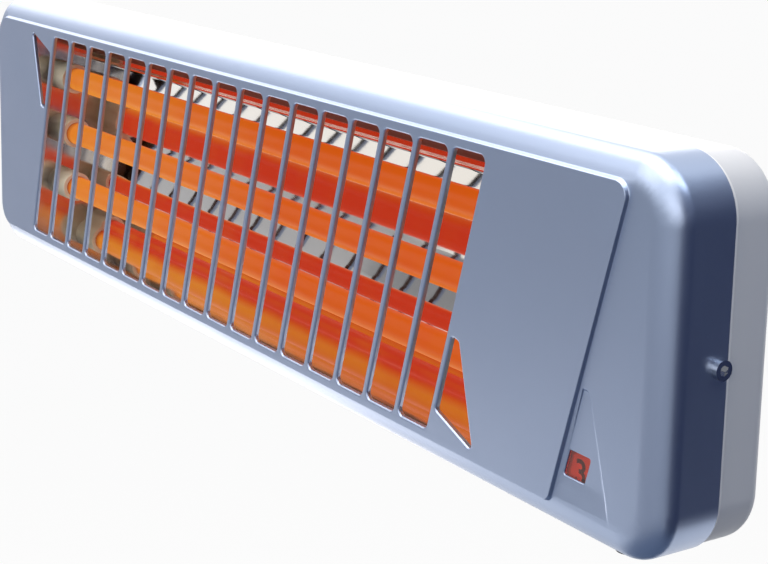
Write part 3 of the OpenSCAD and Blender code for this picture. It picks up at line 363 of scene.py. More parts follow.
def wall_with_holes(mesh, loop, level, holes):
    """Wall from a loop to a level along Y. A hole is (x or z axis, side, place, y, radius)."""
    n = len(loop)
    low = [mesh.verts.new((v.co.x, level, v.co.z)) for v in loop]
    rims = {}
    for k in range(n):
        a, b, c, d = loop[k], loop[(k + 1) % n], low[(k + 1) % n], low[k]
        hit = None
        for index, (axis, side, place, _, _) in enumerate(holes):
            other = 2 - axis
            start, end = sorted((a.co[axis], b.co[axis]))
            if (abs(a.co[other] - b.co[other]) < 10 * WELD and a.co[other] * side > 0
                    and start < place < end):
                hit = index
        if hit is None:
            mesh.faces.new((a, b, c, d))
            continue
        axis, _, place, y, radius = holes[hit]
        square = [(v.co[axis], v.co.y) for v in (a, b, c, d)]
        circle = circle_points(place, y, radius, ROUND_HOLE_SIDES)
        flat, tris = triangulate(square, [circle], [])
        other = 2 - axis
        made = []
        for u, v in flat:
            co = [0.0, v, 0.0]
            co[axis], co[other] = u, a.co[other]
            made.append(mesh.verts.new(co))
        for tri in tris:
            mesh.faces.new([made[j] for j in tri])
        rims[hit] = ring_ids(made, flat, circle)
    return low, rims


side_screw_holes = [(2, side, 0.0, SIDE_SCREW_Y, SIDE_HOLE_R) for side in (1, -1)]
cover_holes = [(0, -1, *CORD_HOLE, CORD_HOLE_R)] + side_screw_holes
outer_low, outer_rims = wall_with_holes(
    cover_mesh, ring_ids(front_ids, points, outer_rings[0]), COVER_SEAM, cover_holes)
inner_low, inner_rims = wall_with_holes(
    cover_mesh, ring_ids(inner_ids, in_points, inner_rings[0]), COVER_SEAM, cover_holes)
band(cover_mesh, outer_low, inner_low)
for index in outer_rims:
    band(cover_mesh, outer_rims[index], inner_rims[index])
front_cover = finish_mesh(cover_mesh, "front_cover_pressing")
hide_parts("front_cover")
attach(front_cover, "housing")


DRIFT_RANGE, SHINE_RANGE, GRAIN_SHARE = (0.3, 0.7), (0.45, 1.15), 0.6
# How far the cover's normal turns inward before its paint gives way to painted shade.
COVER_PAINTED_SHADE_FROM, COVER_PAINTED_SHADE_TO = 0.3, 0.6


def set_range(node, low, high):
    """What a Map Range node reads from."""
    node.inputs["From Min"].default_value = low
    node.inputs["From Max"].default_value = high


def make_skin_group():
    """Slow drift of colour and roughness over a surface, and its fine grain as a height.

    The drift's contrast is stretched, so that both colours show, and the roughness follows the
    drift and a share of the grain.
    """
    group = bpy.data.node_groups.new("surface_skin", "ShaderNodeTree")
    for label, kind, value in (
            ("Colour", "NodeSocketColor", (0.8, 0.8, 0.8, 1)),
            ("Worn colour", "NodeSocketColor", (0.6, 0.6, 0.6, 1)),
            ("Drift size", "NodeSocketFloat", 20.0), ("Grain size", "NodeSocketFloat", 1500.0),
            ("Stretch", "NodeSocketVector", (1, 1, 1)),
            ("Least roughness", "NodeSocketFloat", 0.3),
            ("Most roughness", "NodeSocketFloat", 0.5)):
        socket = group.interface.new_socket(label, in_out="INPUT", socket_type=kind)
        socket.default_value = value
    for label, kind in (("Colour", "NodeSocketColor"), ("Roughness", "NodeSocketFloat"),
                        ("Height", "NodeSocketFloat")):
        group.interface.new_socket(label, in_out="OUTPUT", socket_type=kind)
    nodes, links = group.nodes, group.links
    into, out = nodes.new("NodeGroupInput"), nodes.new("NodeGroupOutput")
    place = nodes.new("ShaderNodeTexCoord")
    stretched = nodes.new("ShaderNodeVectorMath")
    stretched.operation = "MULTIPLY"
    drift, grain = nodes.new("ShaderNodeTexNoise"), nodes.new("ShaderNodeTexNoise")
    drift.inputs["Detail"].default_value, grain.inputs["Detail"].default_value = 4.0, 2.0
    spread = nodes.new("ShaderNodeMapRange")
    set_range(spread, *DRIFT_RANGE)
    tint = nodes.new("ShaderNodeMix")
    tint.data_type = "RGBA"
    both = nodes.new("ShaderNodeMath")
    both.operation = "MULTIPLY_ADD"
    both.inputs[1].default_value = GRAIN_SHARE
    shine = nodes.new("ShaderNodeMapRange")
    set_range(shine, *SHINE_RANGE)
    links.new(place.outputs["Object"], stretched.inputs[0])
    links.new(into.outputs["Stretch"], stretched.inputs[1])
    for noise, size in ((drift, "Drift size"), (grain, "Grain size")):
        links.new(stretched.outputs[0], noise.inputs["Vector"])
        links.new(into.outputs[size], noise.inputs["Scale"])
    links.new(drift.outputs["Fac"], spread.inputs["Value"])
    links.new(spread.outputs["Result"], tint.inputs["Factor"])
    links.new(into.outputs["Colour"], tint.inputs["A"])
    links.new(into.outputs["Worn colour"], tint.inputs["B"])
    links.new(grain.outputs["Fac"], both.inputs[0])
    links.new(drift.outputs["Fac"], both.inputs[2])
    links.new(both.outputs[0], shine.inputs["Value"])
    links.new(into.outputs["Least roughness"], shine.inputs["To Min"])
    links.new(into.outputs["Most roughness"], shine.inputs["To Max"])
    links.new(tint.outputs["Result"], out.inputs["Colour"])
    links.new(shine.outputs["Result"], out.inputs["Roughness"])
    links.new(grain.outputs["Fac"], out.inputs["Height"])
    return group


surface_skin = make_skin_group()


def skin_material(name, colour, worn, rough, metallic=0.0, drift=20.0, grain=1500.0,
                  stretch=(1, 1, 1), bump=0.1, bump_depth=0.0001, **sockets):
    """A finish from the shared skin group; constant values go on the shader's own sockets."""
    material = bpy.data.materials.new(name)
    material.use_nodes = True
    nodes, links = material.node_tree.nodes, material.node_tree.links
    shader = nodes["Principled BSDF"]
    skin = nodes.new("ShaderNodeGroup")
    skin.name, skin.node_tree = "skin", surface_skin
    skin.inputs["Colour"].default_value = (*colour, 1)
    skin.inputs["Worn colour"].default_value = (*worn, 1)
    skin.inputs["Drift size"].default_value = drift
    skin.inputs["Grain size"].default_value = grain
    skin.inputs["Stretch"].default_value = stretch
    skin.inputs["Least roughness"].default_value = rough[0]
    skin.inputs["Most roughness"].default_value = rough[1]
    height = nodes.new("ShaderNodeBump")
    height.inputs["Strength"].default_value = bump
    height.inputs["Distance"].default_value = bump_depth
    links.new(skin.outputs["Colour"], shader.inputs["Base Color"])
    links.new(skin.outputs["Roughness"], shader.inputs["Roughness"])
    links.new(skin.outputs["Height"], height.inputs["Height"])
    links.new(height.outputs["Normal"], shader.inputs["Normal"])
    shader.inputs["Metallic"].default_value = metallic
    for label, value in sockets.items():
        shader.inputs[label.replace("_", " ")].default_value = value
    return material


def dress(material, *names):
    """The material on carried-over nodes, whose shapes stay as they are."""
    for name in names:
        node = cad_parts[name]
        node.data.materials.clear()
        node.data.materials.append(material)


silver_paint = skin_material("silver_paint", (0.44, 0.52, 0.71), (0.40, 0.49, 0.68),
                             (0.31, 0.41), metallic=0.97, drift=9.0, grain=2600.0,
                             bump=0.2, bump_depth=0.00012, Coat_Weight=0.35,
                             Coat_Roughness=0.22)
front_cover.data.materials.append(silver_paint)


def recolour(material, source, low, high, colour, roughness):
    """Another colour and roughness on a material where a coordinate runs from low to high."""
    nodes, links = material.node_tree.nodes, material.node_tree.links
    shader, skin = nodes["Principled BSDF"], nodes["skin"]
    into = nodes.new("ShaderNodeMapRange")
    into.interpolation_type = "SMOOTHSTEP"
    set_range(into, low, high)
    links.new(source, into.inputs["Value"])
    for label, kind, value in (("Base Color", "RGBA", (*colour, 1)),
                               ("Roughness", "FLOAT", roughness)):
        blend = nodes.new("ShaderNodeMix")
        blend.data_type = kind
        links.new(into.outputs["Result"], blend.inputs["Factor"])
        links.new(skin.outputs["Colour" if kind == "RGBA" else "Roughness"], blend.inputs["A"])
        blend.inputs["B"].default_value = value
        links.new(blend.outputs["Result"], shader.inputs[label])


def coordinate(material, node_type, output, axis):
    """One coordinate of a material's normal or place."""
    nodes, links = material.node_tree.nodes, material.node_tree.links
    given, apart = nodes.new(node_type), nodes.new("ShaderNodeSeparateXYZ")
    links.new(given.outputs[output], apart.inputs[0])
    return apart.outputs[axis]


# Painted shade: the cover's inward-facing side is painted near-black brown, standing in for
# the shade inside the casing.
recolour(silver_paint, coordinate(silver_paint, "ShaderNodeNewGeometry", "Normal", "Y"),
         COVER_PAINTED_SHADE_FROM, COVER_PAINTED_SHADE_TO, (0.045, 0.030, 0.022), 0.6)


# ---- Back shell ----
# The deep-drawn rear half, in light grey paint. Its lip slips inside the cover, and its floor
# carries the screws of the reflector's supports, the switch and the pivot lugs.

SHELL_INSET, SHELL_REAR, SHELL_EDGE_R = 0.8, -45.0, 6.0
SHOULDER_R, SHOULDER_EASE = 0.5, 0.15
LIP_INSET, LIP_T, LIP_ROOT, LIP_END = 1.5, 1.0, -63.5, -74.5
FLOOR_HOLES = [(267.0, -4.0, 5.9), (248.4, 8.0, 2.1)]
FLOOR_HOLE_SIDES, SHELL_EDGE_STEPS = 40, 7
# Where the painted highlight on the shoulder's edge at the seam ends, and how soft it is.
SEAM_HIGHLIGHT_END, SEAM_HIGHLIGHT_BLUR = -0.0645, 0.0006

shell_mesh = bmesh.new()


def shell_outline(inset):
    """Corners and radii of the casing's outline, moved in."""
    return box_corners(CASING_L - 2 * inset, CASING_H - 2 * inset), [CORNER_R - inset] * 4


def shell_ring(inset, away=0.0):
    """A ring of the shell's wall, moved in by an inset and then away from the wall."""
    return outline_ring(*shell_outline(inset), -away, CASING_ARC)


def shell_floor(inset, level, radius, front):
    """The floor with its rounded border; returns the border and the rims of its holes."""
    rings = [shell_ring(inset, d) for d in round_steps(radius, SHELL_EDGE_STEPS)]
    holes = [circle_points(*hole, FLOOR_HOLE_SIDES) for hole in FLOOR_HOLES]
    flat, tris = triangulate(rings[0], holes, rings[1:])
    inward = -outline_distance(flat, *shell_outline(inset))
    ids = add_surface(shell_mesh, flat, tris, level - round_over(inward, radius, radius), front)
    return ring_ids(ids, flat, rings[0]), [ring_ids(ids, flat, hole) for hole in holes]


def shell_loop(level, inset):
    """Vertices of one ring of the shell's wall at a level along Y."""
    return [shell_mesh.verts.new((x, level, z)) for x, z in shell_ring(inset)]


rear_rim, rear_holes = shell_floor(SHELL_INSET, SHELL_REAR, SHELL_EDGE_R, False)
floor_rim, floor_holes = shell_floor(SHELL_INSET + SHEET_T, SHELL_REAR - SHEET_T,
                                     SHELL_EDGE_R - SHEET_T, True)
for rear_hole, floor_hole in zip(rear_holes, floor_holes):
    band(shell_mesh, rear_hole, floor_hole)
shoulder = [rear_rim] + [shell_loop(y, inset) for y, inset in (
    (COVER_SEAM + SHOULDER_R, SHELL_INSET),
    (COVER_SEAM + SHOULDER_EASE, SHELL_INSET + SHOULDER_EASE),
    (COVER_SEAM, SHELL_INSET + SHOULDER_R), (COVER_SEAM, LIP_INSET))]
for loop_a, loop_b in zip(shoulder, shoulder[1:]):
    band(shell_mesh, loop_a, loop_b)
lip_tip, lip_outer = wall_with_holes(shell_mesh, shoulder[-1], LIP_END, side_screw_holes)
lip_under = shell_loop(LIP_END, LIP_INSET + LIP_T)
lip_foot, lip_inner = wall_with_holes(shell_mesh, lip_under, LIP_ROOT, side_screw_holes)
wall_top = shell_loop(LIP_ROOT, SHELL_INSET + SHEET_T)
band(shell_mesh, lip_tip, lip_under)
band(shell_mesh, lip_foot, wall_top)
band(shell_mesh, wall_top, floor_rim)
for index in lip_outer:
    band(shell_mesh, lip_outer[index], lip_inner[index])
back_shell = finish_mesh(shell_mesh, "back_shell_pressing")
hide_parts("back_shell")
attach(back_shell, "housing")
grey_paint = skin_material("grey_paint", (0.71, 0.73, 0.765), (0.66, 0.68, 0.725),
                           (0.32, 0.42), drift=12.0, grain=1900.0)
# A painted highlight: the shoulder's edge at the seam is painted near-white, standing in for
# the light that catches it.
recolour(grey_paint, coordinate(grey_paint, "ShaderNodeTexCoord", "Object", "Y"),
         SEAM_HIGHLIGHT_END, SEAM_HIGHLIGHT_END - SEAM_HIGHLIGHT_BLUR, (0.97, 0.97, 0.98), 0.3)
back_shell.data.materials.append(grey_paint)


# ---- Reflector ----
# One sheet of polished aluminium, bent along its length into a middle hollow, two flat ribs,
# two outer hollows and the flanks. Faint rolling lines run along it, and its upper edge is
# painted dark brown as painted shade under the cover's top.

TUBE_Y, TUBE_ZS = -75.0, (30.5, 0.0, -30.5)
REFLECTOR_T, BEND_REACH, BEND_STEPS = 0.8, 1.8, 6
REFLECTOR_LEFT, REFLECTOR_RIGHT = -233.8, 192.2
# Height at which the sheet's upper edge turns to painted shade, and how soft the change is.
REFLECTOR_SHADE_FROM, REFLECTOR_SHADE_BLUR = 0.0445, 0.0012
BENDS = [(-90.3, 59.0), (-70.0, 48.5), (-59.0, 40.0), (-62.3, 31.3), (-62.3, 20.3),
         (-60.0, 10.4), (-59.0, 0.0)]


def sheet_section():
    """The sheet's inside and outside as (y, z), from the upper to the lower front edge."""
    bends = [Vector(bend) for bend in BENDS + [(y, -z) for y, z in BENDS[-2::-1]]]
    inside = [bends[0]]
    for before, bend, after in zip(bends, bends[1:], bends[2:]):
        start = bend + (before - bend).normalized() * BEND_REACH
        end = bend + (after - bend).normalized() * BEND_REACH
        inside.extend(start * (1 - t) ** 2 + bend * 2 * t * (1 - t) + end * t * t
                      for t in (k / BEND_STEPS for k in range(BEND_STEPS + 1)))
    inside.append(bends[-1])
    outside = []
    for k, point in enumerate(inside):
        along = (inside[min(k + 1, len(inside) - 1)] - inside[max(k - 1, 0)]).normalized()
        outside.append(point + REFLECTOR_T * Vector((-along.y, along.x)))
    return inside, outside


def extrude_strip(mesh, front, back, left, right):
    """A sheet between two open profiles in (y, z), drawn out along X."""
    loop = front + back[::-1]
    rings = [[mesh.verts.new((x, y, z)) for y, z in loop] for x in (left, right)]
    band(mesh, *rings)
    for ring in rings:
        for k in range(len(front) - 1):
            mesh.faces.new((ring[k], ring[k + 1], ring[-k - 2], ring[-k - 1]))


reflector_mesh = bmesh.new()
extrude_strip(reflector_mesh, *sheet_section(), REFLECTOR_LEFT, REFLECTOR_RIGHT)
reflector = finish_mesh(reflector_mesh, "reflector_sheet")
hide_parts("reflector")
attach(reflector, "housing")
polished_reflector = skin_material(
    "polished_reflector", (0.88, 0.86, 0.83), (0.80, 0.74, 0.66), (0.03, 0.09), metallic=1.0,
    drift=14.0, grain=260.0, stretch=(0.12, 1, 1), bump=0.05, bump_depth=0.0003)
# Painted shade: the sheet's upper edge is painted dark brown, for the shade under the cover's top.
recolour(polished_reflector, coordinate(polished_reflector, "ShaderNodeTexCoord", "Object", "Z"),
         REFLECTOR_SHADE_FROM, REFLECTOR_SHADE_FROM + REFLECTOR_SHADE_BLUR, (0.11, 0.09, 0.07), 0.45)
reflector.data.materials.append(polished_reflector)


# ---- Quartz tubes and heating coils ----
# Milky quartz tubes with fire-polished ends. In each hangs a tightly wound coil of resistance
# wire, which glows and fills the quartz with light. The glow's colour carries painted light: it
# is redder on the back and more golden below and towards the left, for light that the
# reflector and the casing throw back.

TUBE_MID, TUBE_L, TUBE_R, TUBE_WALL = GRILLE_MID, 410.0, 6.0, 1.0
TUBE_SIDES, TUBE_RIM_STEPS, TUBE_SHARP_ANGLE = 64, 8, 50.0
COIL_HALF, COIL_R, COIL_WIRE_R, COIL_PITCH = 202.0, 3.4, 0.38, 1.25
COIL_STEPS, WIRE_SIDES = 14, 6
COLD_FROM, COLD_BLUR, COLD_SHARE = 0.192, 0.006, 0.35
# Each mask's name, the range that it is read over, and its least and most share. The behind,
# below and left masks paint light into the glow's colour.
GLOW_RAMPS = (("behind", -0.15, 0.75, 0, 1), ("below", -0.1, -1, 0, 0.6),
              ("left", 0.02, -0.2, 0, 0.8), ("drift", 0.3, 0.7, -0.14, 0.14),
              ("ends", COLD_FROM, COLD_FROM - COLD_BLUR, 0, 1))


def turned(mesh, profile, axis_y, axis_z):
    """A closed ring section in (x, radius), turned round an axis along X."""
    turns = [2 * math.pi * k / TUBE_SIDES for k in range(TUBE_SIDES)]
    rings = [[mesh.verts.new((x, axis_y + radius * math.sin(a), axis_z + radius * math.cos(a)))
              for a in turns] for x, radius in profile]
    for ring_a, ring_b in zip(rings, rings[1:] + rings[:1]):
        band(mesh, ring_a, ring_b)


def tube_profile():
    """Section of a tube's wall in (x, radius), with a round rim at each end."""
    middle, half = TUBE_R - TUBE_WALL / 2, TUBE_WALL / 2
    points = []
    for side in (1, -1):
        rim = TUBE_MID + side * (TUBE_L / 2 - half)
        for k in range(TUBE_RIM_STEPS + 1):
            a = side * math.pi / 2 - math.pi * k / TUBE_RIM_STEPS
            points.append((rim + half * math.cos(a), middle + half * math.sin(a)))
    return points


def coil_path(z):
    """Points along the middle of a coil's wire."""
    steps = int(2 * COIL_HALF / COIL_PITCH) * COIL_STEPS
    reach, radius = COIL_HALF - COIL_WIRE_R, COIL_R - COIL_WIRE_R
    for k in range(steps + 1):
        a = 2 * math.pi * k / COIL_STEPS
        yield Vector((TUBE_MID - reach + 2 * reach * k / steps,
                      TUBE_Y + radius * math.sin(a), z + radius * math.cos(a)))


def coil_mesh(z):
    """The wound wire, as a six-sided tube along its path."""
    mesh = bmesh.new()
    along = Vector((1, 0, 0))
    turns = [2 * math.pi * k / WIRE_SIDES for k in range(WIRE_SIDES)]
    last = None
    for point in coil_path(z):
        out = point - Vector((point.x, TUBE_Y, z))
        out.normalize()
        ring = [mesh.verts.new(point + COIL_WIRE_R * (math.cos(a) * out + math.sin(a) * along))
                for a in turns]
        if last:
            band(mesh, last, ring)
        else:
            mesh.faces.new(ring)
        last = ring
    mesh.faces.new(last)
    return mesh


def glow_material(name, front, gold, back, strength, base, rough, coat=0.0):
    """Orange glow, dim at the cold ends, with painted light in its colour: redder behind and more
    golden below and at the left.
    """
    material = skin_material(name, base, [0.8 * c for c in base], rough, drift=40.0,
                             grain=300.0, stretch=(0.3, 1, 1), bump=0.02)
    nodes, links = material.node_tree.nodes, material.node_tree.links
    shader = nodes["Principled BSDF"]
    place, drift = nodes.new("ShaderNodeTexCoord"), nodes.new("ShaderNodeTexNoise")
    drift.inputs["Scale"].default_value, drift.inputs["Detail"].default_value = 45.0, 3.0
    links.new(place.outputs["Object"], drift.inputs["Vector"])
    from_middle, off_middle = nodes.new("ShaderNodeMath"), nodes.new("ShaderNodeMath")
    off_middle.operation, from_middle.operation = "SUBTRACT", "ABSOLUTE"
    links.new(coordinate(material, "ShaderNodeTexCoord", "Object", "X"), off_middle.inputs[0])
    off_middle.inputs[1].default_value = TUBE_MID * MM
    links.new(off_middle.outputs[0], from_middle.inputs[0])
    sources = {"behind": coordinate(material, "ShaderNodeNewGeometry", "Normal", "Y"),
               "below": coordinate(material, "ShaderNodeNewGeometry", "Normal", "Z"),
               "left": coordinate(material, "ShaderNodeTexCoord", "Object", "X"),
               "drift": drift.outputs["Fac"], "ends": from_middle.outputs[0]}
    share = {}
    for label, low, high, least, most in GLOW_RAMPS:
        ramp = nodes.new("ShaderNodeMapRange")
        set_range(ramp, low, high)
        ramp.inputs["To Min"].default_value = least
        ramp.inputs["To Max"].default_value = most
        links.new(sources[label], ramp.inputs["Value"])
        share[label] = ramp.outputs["Result"]
    # Painted light: the glow is made more golden below and at the left, and redder behind.
    golden, redder = nodes.new("ShaderNodeMath"), nodes.new("ShaderNodeMath")
    for total, first, second in ((golden, "below", "left"), (redder, "behind", "drift")):
        links.new(share[first], total.inputs[0])
        links.new(share[second], total.inputs[1])
    forward, hue = nodes.new("ShaderNodeMix"), nodes.new("ShaderNodeMix")
    forward.data_type = hue.data_type = "RGBA"
    forward.inputs["A"].default_value = (*front, 1)
    forward.inputs["B"].default_value = (*gold, 1)
    hue.inputs["B"].default_value = (*back, 1)
    cold = nodes.new("ShaderNodeMix")
    cold.data_type = "RGBA"
    cold.inputs["A"].default_value = (*[c * COLD_SHARE for c in back], 1)
    links.new(golden.outputs[0], forward.inputs["Factor"])
    links.new(forward.outputs["Result"], hue.inputs["A"])
    links.new(redder.outputs[0], hue.inputs["Factor"])
    links.new(share["ends"], cold.inputs["Factor"])
    links.new(hue.outputs["Result"], cold.inputs["B"])
    links.new(cold.outputs["Result"], shader.inputs["Emission Color"])
    shader.inputs["Emission Strength"].default_value = strength
    shader.inputs["Coat Weight"].default_value = coat
    shader.inputs["Coat Roughness"].default_value = 0.08
    shader.inputs["Specular IOR Level"].default_value = 0.12
    return material


quartz = glow_material("quartz", (0.60, 0.088, 0.003), (0.72, 0.235, 0.022),
                       (0.58, 0.038, 0.014), 1.0, (0.07, 0.02, 0.008), (0.3, 0.42), coat=0.02)
glowing_coil = glow_material("glowing_coil", (0.9, 0.30, 0.05), (0.9, 0.36, 0.07),
                             (0.8, 0.14, 0.03), 1.1, (0.12, 0.07, 0.05), (0.4, 0.5))
for level, z in zip(("upper", "middle", "lower"), TUBE_ZS):
    tube_mesh = bmesh.new()
    turned(tube_mesh, tube_profile(), TUBE_Y, z)
    for mesh, name, node, slot, finish in (
            (tube_mesh, "milky_tube_", "quartz_tube_", "quartz", quartz),
            (coil_mesh(z), "wound_coil_", "heating_coil_", "glowing_coil", glowing_coil)):
        piece = finish_mesh(mesh, name + level, TUBE_SHARP_ANGLE)
        piece.data.materials.append(finish)
        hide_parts(node + level)
        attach(piece, "housing")


# ---- Tube ends ----
# Cream steatite caps over the tubes' ends, spring clips that hold them in the polished supports,
# and nickelled pins with a link bar that joins the three left ends.

polished_plate = skin_material("polished_plate", (0.80, 0.76, 0.71), (0.72, 0.62, 0.52),
                               (0.10, 0.22), metallic=1.0, drift=30.0, grain=500.0,
                               stretch=(1, 1, 0.2), bump=0.08)
cream_ceramic = skin_material("cream_ceramic", (0.90, 0.83, 0.66), (0.80, 0.70, 0.52),
                              (0.35, 0.55), drift=60.0, grain=900.0, bump=0.12)
spring_steel = skin_material("spring_steel", (0.55, 0.55, 0.56), (0.42, 0.38, 0.36),
                             (0.22, 0.36), metallic=1.0, drift=90.0, grain=1400.0)
terminal_steel = skin_material("terminal_steel", (0.62, 0.60, 0.56), (0.50, 0.45, 0.40),
                               (0.25, 0.4), metallic=1.0, drift=80.0, grain=1200.0)
dress(polished_plate, "tube_support_left", "tube_support_right")
dress(cream_ceramic, *[f"ceramic_cap_{side}_{level}" for side in ("left", "right")
                       for level in ("upper", "middle", "lower")])
dress(spring_steel, "cap_clips_left", "cap_clips_right", "lever_spring")
dress(terminal_steel, "tube_terminals_left", "tube_terminals_right", "link_bar", "switch_tabs")


# ---- Brackets and shield inside ----
# Folded from galvanised steel: the shield between the hot chamber and the switch, the channels
# under the reflector, the switch's hat bracket and the cable clamp.

shield_steel = skin_material("shield_steel", (0.58, 0.60, 0.62), (0.46, 0.48, 0.51),
                             (0.28, 0.48), metallic=0.9, drift=120.0, grain=900.0, bump=0.1)
dress(shield_steel, "heat_shield", "reflector_saddles", "switch_bracket", "cord_clamp")


# ---- Pull-cord switch, number disc and window ----
# A moulded switch with a steel pull lever. Its spindle carries a white disc printed with the
# stages' numbers, of which one shows through the red window in the cover.

DISC_Y, SWITCH_X, SWITCH_Z = -88.8, WINDOW_MID[0], -30.7
DIGIT_R, DIGIT_H, DIGIT_LIFT, DIGIT_T, DIGIT_BOLD = 15.9, 9.2, 0.06, 0.06, 0.18
FONT_FILL = 1.38  # a font's size over the height of its digits

switch_plastic = skin_material("switch_plastic", (0.06, 0.06, 0.065), (0.08, 0.08, 0.085),
                               (0.35, 0.5), drift=80.0, grain=1800.0)
lever_steel = skin_material("lever_steel", (0.60, 0.60, 0.60), (0.48, 0.48, 0.50),
                            (0.25, 0.4), metallic=1.0, drift=80.0, grain=1500.0)
disc_white = skin_material("disc_white", (0.86, 0.84, 0.80), (0.80, 0.78, 0.73), (0.4, 0.55),
                           drift=60.0, grain=1500.0)
spindle_plastic = skin_material("spindle_plastic", (0.72, 0.72, 0.70), (0.64, 0.64, 0.62),
                                (0.35, 0.5), drift=60.0, grain=1500.0)
cutout_body = skin_material("cutout_body", (0.10, 0.08, 0.07), (0.14, 0.11, 0.09),
                            (0.3, 0.45), drift=80.0, grain=1600.0)
dress(switch_plastic, "switch_body")
dress(lever_steel, "pull_lever")
dress(disc_white, "number_disc")
dress(spindle_plastic, "switch_spindle")
dress(cutout_body, "thermal_cutout")
red_window = skin_material("red_window", (1.0, 0.20, 0.11), (0.96, 0.18, 0.10), (0.05, 0.1),
                           drift=60.0, grain=1200.0, bump=0.02, Transmission_Weight=1.0,
                           IOR=1.45, Specular_IOR_Level=0.1)
dress(red_window, "window_lens")
print_black = skin_material("print_black", (0.003, 0.003, 0.003), (0.006, 0.006, 0.006),
                            (0.5, 0.65), drift=200.0, grain=2500.0, Specular_IOR_Level=0.1)
for stage, turn in (("3", 0), ("0", 90), ("1", 180), ("2", 270)):
    text = bpy.data.curves.new("stage_number_" + stage, "FONT")
    text.body, text.size = stage, DIGIT_H * MM * FONT_FILL
    text.align_x, text.align_y = "CENTER", "CENTER"
    text.extrude, text.offset, text.resolution_u = DIGIT_T * MM, DIGIT_BOLD * MM, 6
    number = bpy.data.objects.new("stage_number_" + stage, text)
    scene.collection.objects.link(number)
    hub = Vector((SWITCH_X, DISC_Y - DIGIT_LIFT, SWITCH_Z)) * MM
    number.matrix_world = (Matrix.Translation(hub)
                           @ Matrix.Rotation(math.radians(turn), 4, "Y")
                           @ Matrix.Translation((0, 0, -DIGIT_R * MM))
                           @ Matrix.Rotation(math.pi / 2, 4, "X"))
    text.materials.append(print_black)
    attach(number, "dial")


# ---- Bushes, terminals, screws and wires ----
# Small fittings: black cable and cord bushes, a steatite terminal block with brass screws,
# zinc-plated and chromed screws, and glass-sleeved wires in their phase colours.

bush_black = skin_material("bush_black", (0.035, 0.035, 0.037), (0.05, 0.05, 0.052),
                           (0.4, 0.55), drift=90.0, grain=1700.0)
block_ceramic = skin_material("block_ceramic", (0.78, 0.75, 0.68), (0.68, 0.64, 0.56),
                              (0.3, 0.5), drift=70.0, grain=1100.0)
zinc_screws = skin_material("zinc_screws", (0.62, 0.64, 0.66), (0.50, 0.51, 0.53),
                            (0.22, 0.4), metallic=1.0, drift=150.0, grain=1600.0)
brass_fittings = skin_material("brass_fittings", (0.78, 0.56, 0.24), (0.62, 0.42, 0.18),
                               (0.2, 0.36), metallic=1.0, drift=150.0, grain=1600.0)
chrome_screw = skin_material("chrome_screw", (0.78, 0.79, 0.80), (0.68, 0.69, 0.71),
                             (0.06, 0.14), metallic=1.0, drift=150.0, grain=1600.0, bump=0.04)
dress(bush_black, "pull_cord_bush", "cable_inlet_bush")
dress(block_ceramic, "terminal_block")
dress(zinc_screws, "clamp_screws", "chassis_screws", "lug_screws", "side_nuts", "pivot_bolts",
      "pivot_washers", "pivot_nuts")
dress(brass_fittings, "terminal_screws", "earth_stud", "earth_nut")
dress(chrome_screw, "side_screws")
for finish, colour, names in (
        ("wire_blue", (0.03, 0.10, 0.42), ("common_wire",)),
        ("wire_brown", (0.16, 0.06, 0.025), ("live_wire",)),
        ("wire_red", (0.45, 0.03, 0.02), ("feed_wire",)),
        ("wire_white", (0.74, 0.72, 0.66), ("stage_wire_upper", "stage_wire_middle",
                                            "stage_wire_lower"))):
    dress(skin_material(finish, colour, [0.8 * c for c in colour], (0.45, 0.65), drift=150.0,
                        grain=1400.0, bump=0.2), *names)


# ---- Wall bracket and pivot lugs ----
# Folded 2.5 mm steel in the shell's grey paint: a wall plate with two arms, and the two lugs on
# the back shell that tilt on the arms' bolts.

dress(grey_paint, "wall_bracket", "pivot_lug_left", "pivot_lug_right")


# ---- Room ----
# A white world, a pale floor a metre below the heater and seven soft lamps all round it. Five
# boards, which the camera doesn't see and which cast no shadow, stand where the paint and the
# polished metal mirror something dark, grey or pale.

FLOOR_Z, FLOOR_SIZE, FLOOR_WHITE = -1.0, 30.0, 0.94
NAVY, DUSK, GREY, PALE = ((0.007, 0.018, 0.070), (0.16, 0.21, 0.30), (0.48, 0.50, 0.54),
                          (0.78, 0.80, 0.84))
UP, TO_LEFT, TO_HEATER, UP_AND_BACK = (0, 0, 1), (-1, 0, 0), (0.85, 0.5, 0), (0, 0.536, 0.845)
LAMP_WARM, LAMP_COOL = (1.0, 0.92, 0.83), (0.9, 0.95, 1.0)


def background_rays(nodes, links):
    """1 for the camera's rays and for those that metal and glass send on, 0 for all others."""
    rays = nodes.new("ShaderNodeLightPath")
    seen, seen_or_through = nodes.new("ShaderNodeMath"), nodes.new("ShaderNodeMath")
    seen.operation = seen_or_through.operation = "MAXIMUM"
    links.new(rays.outputs["Is Camera Ray"], seen.inputs[0])
    links.new(rays.outputs["Is Glossy Ray"], seen.inputs[1])
    links.new(seen.outputs[0], seen_or_through.inputs[0])
    links.new(rays.outputs["Is Transmission Ray"], seen_or_through.inputs[1])
    return seen_or_through.outputs[0]


world = bpy.data.worlds.new("studio")
scene.world = world
world.use_nodes = True
nodes, links = world.node_tree.nodes, world.node_tree.links
backdrop = nodes["Background"]
backdrop.inputs["Color"].default_value = (1.0, 1.0, 1.0, 1)
backdrop.inputs["Strength"].default_value = 1.0
ambient = nodes.new("ShaderNodeBackground")
ambient.inputs["Color"].default_value = (0.93, 0.96, 1.0, 1)
ambient.inputs["Strength"].default_value = 0.45
mix = nodes.new("ShaderNodeMixShader")
links.new(background_rays(nodes, links), mix.inputs["Fac"])
links.new(ambient.outputs[0], mix.inputs[1])
links.new(backdrop.outputs[0], mix.inputs[2])
links.new(mix.outputs[0], nodes["World Output"].inputs["Surface"])


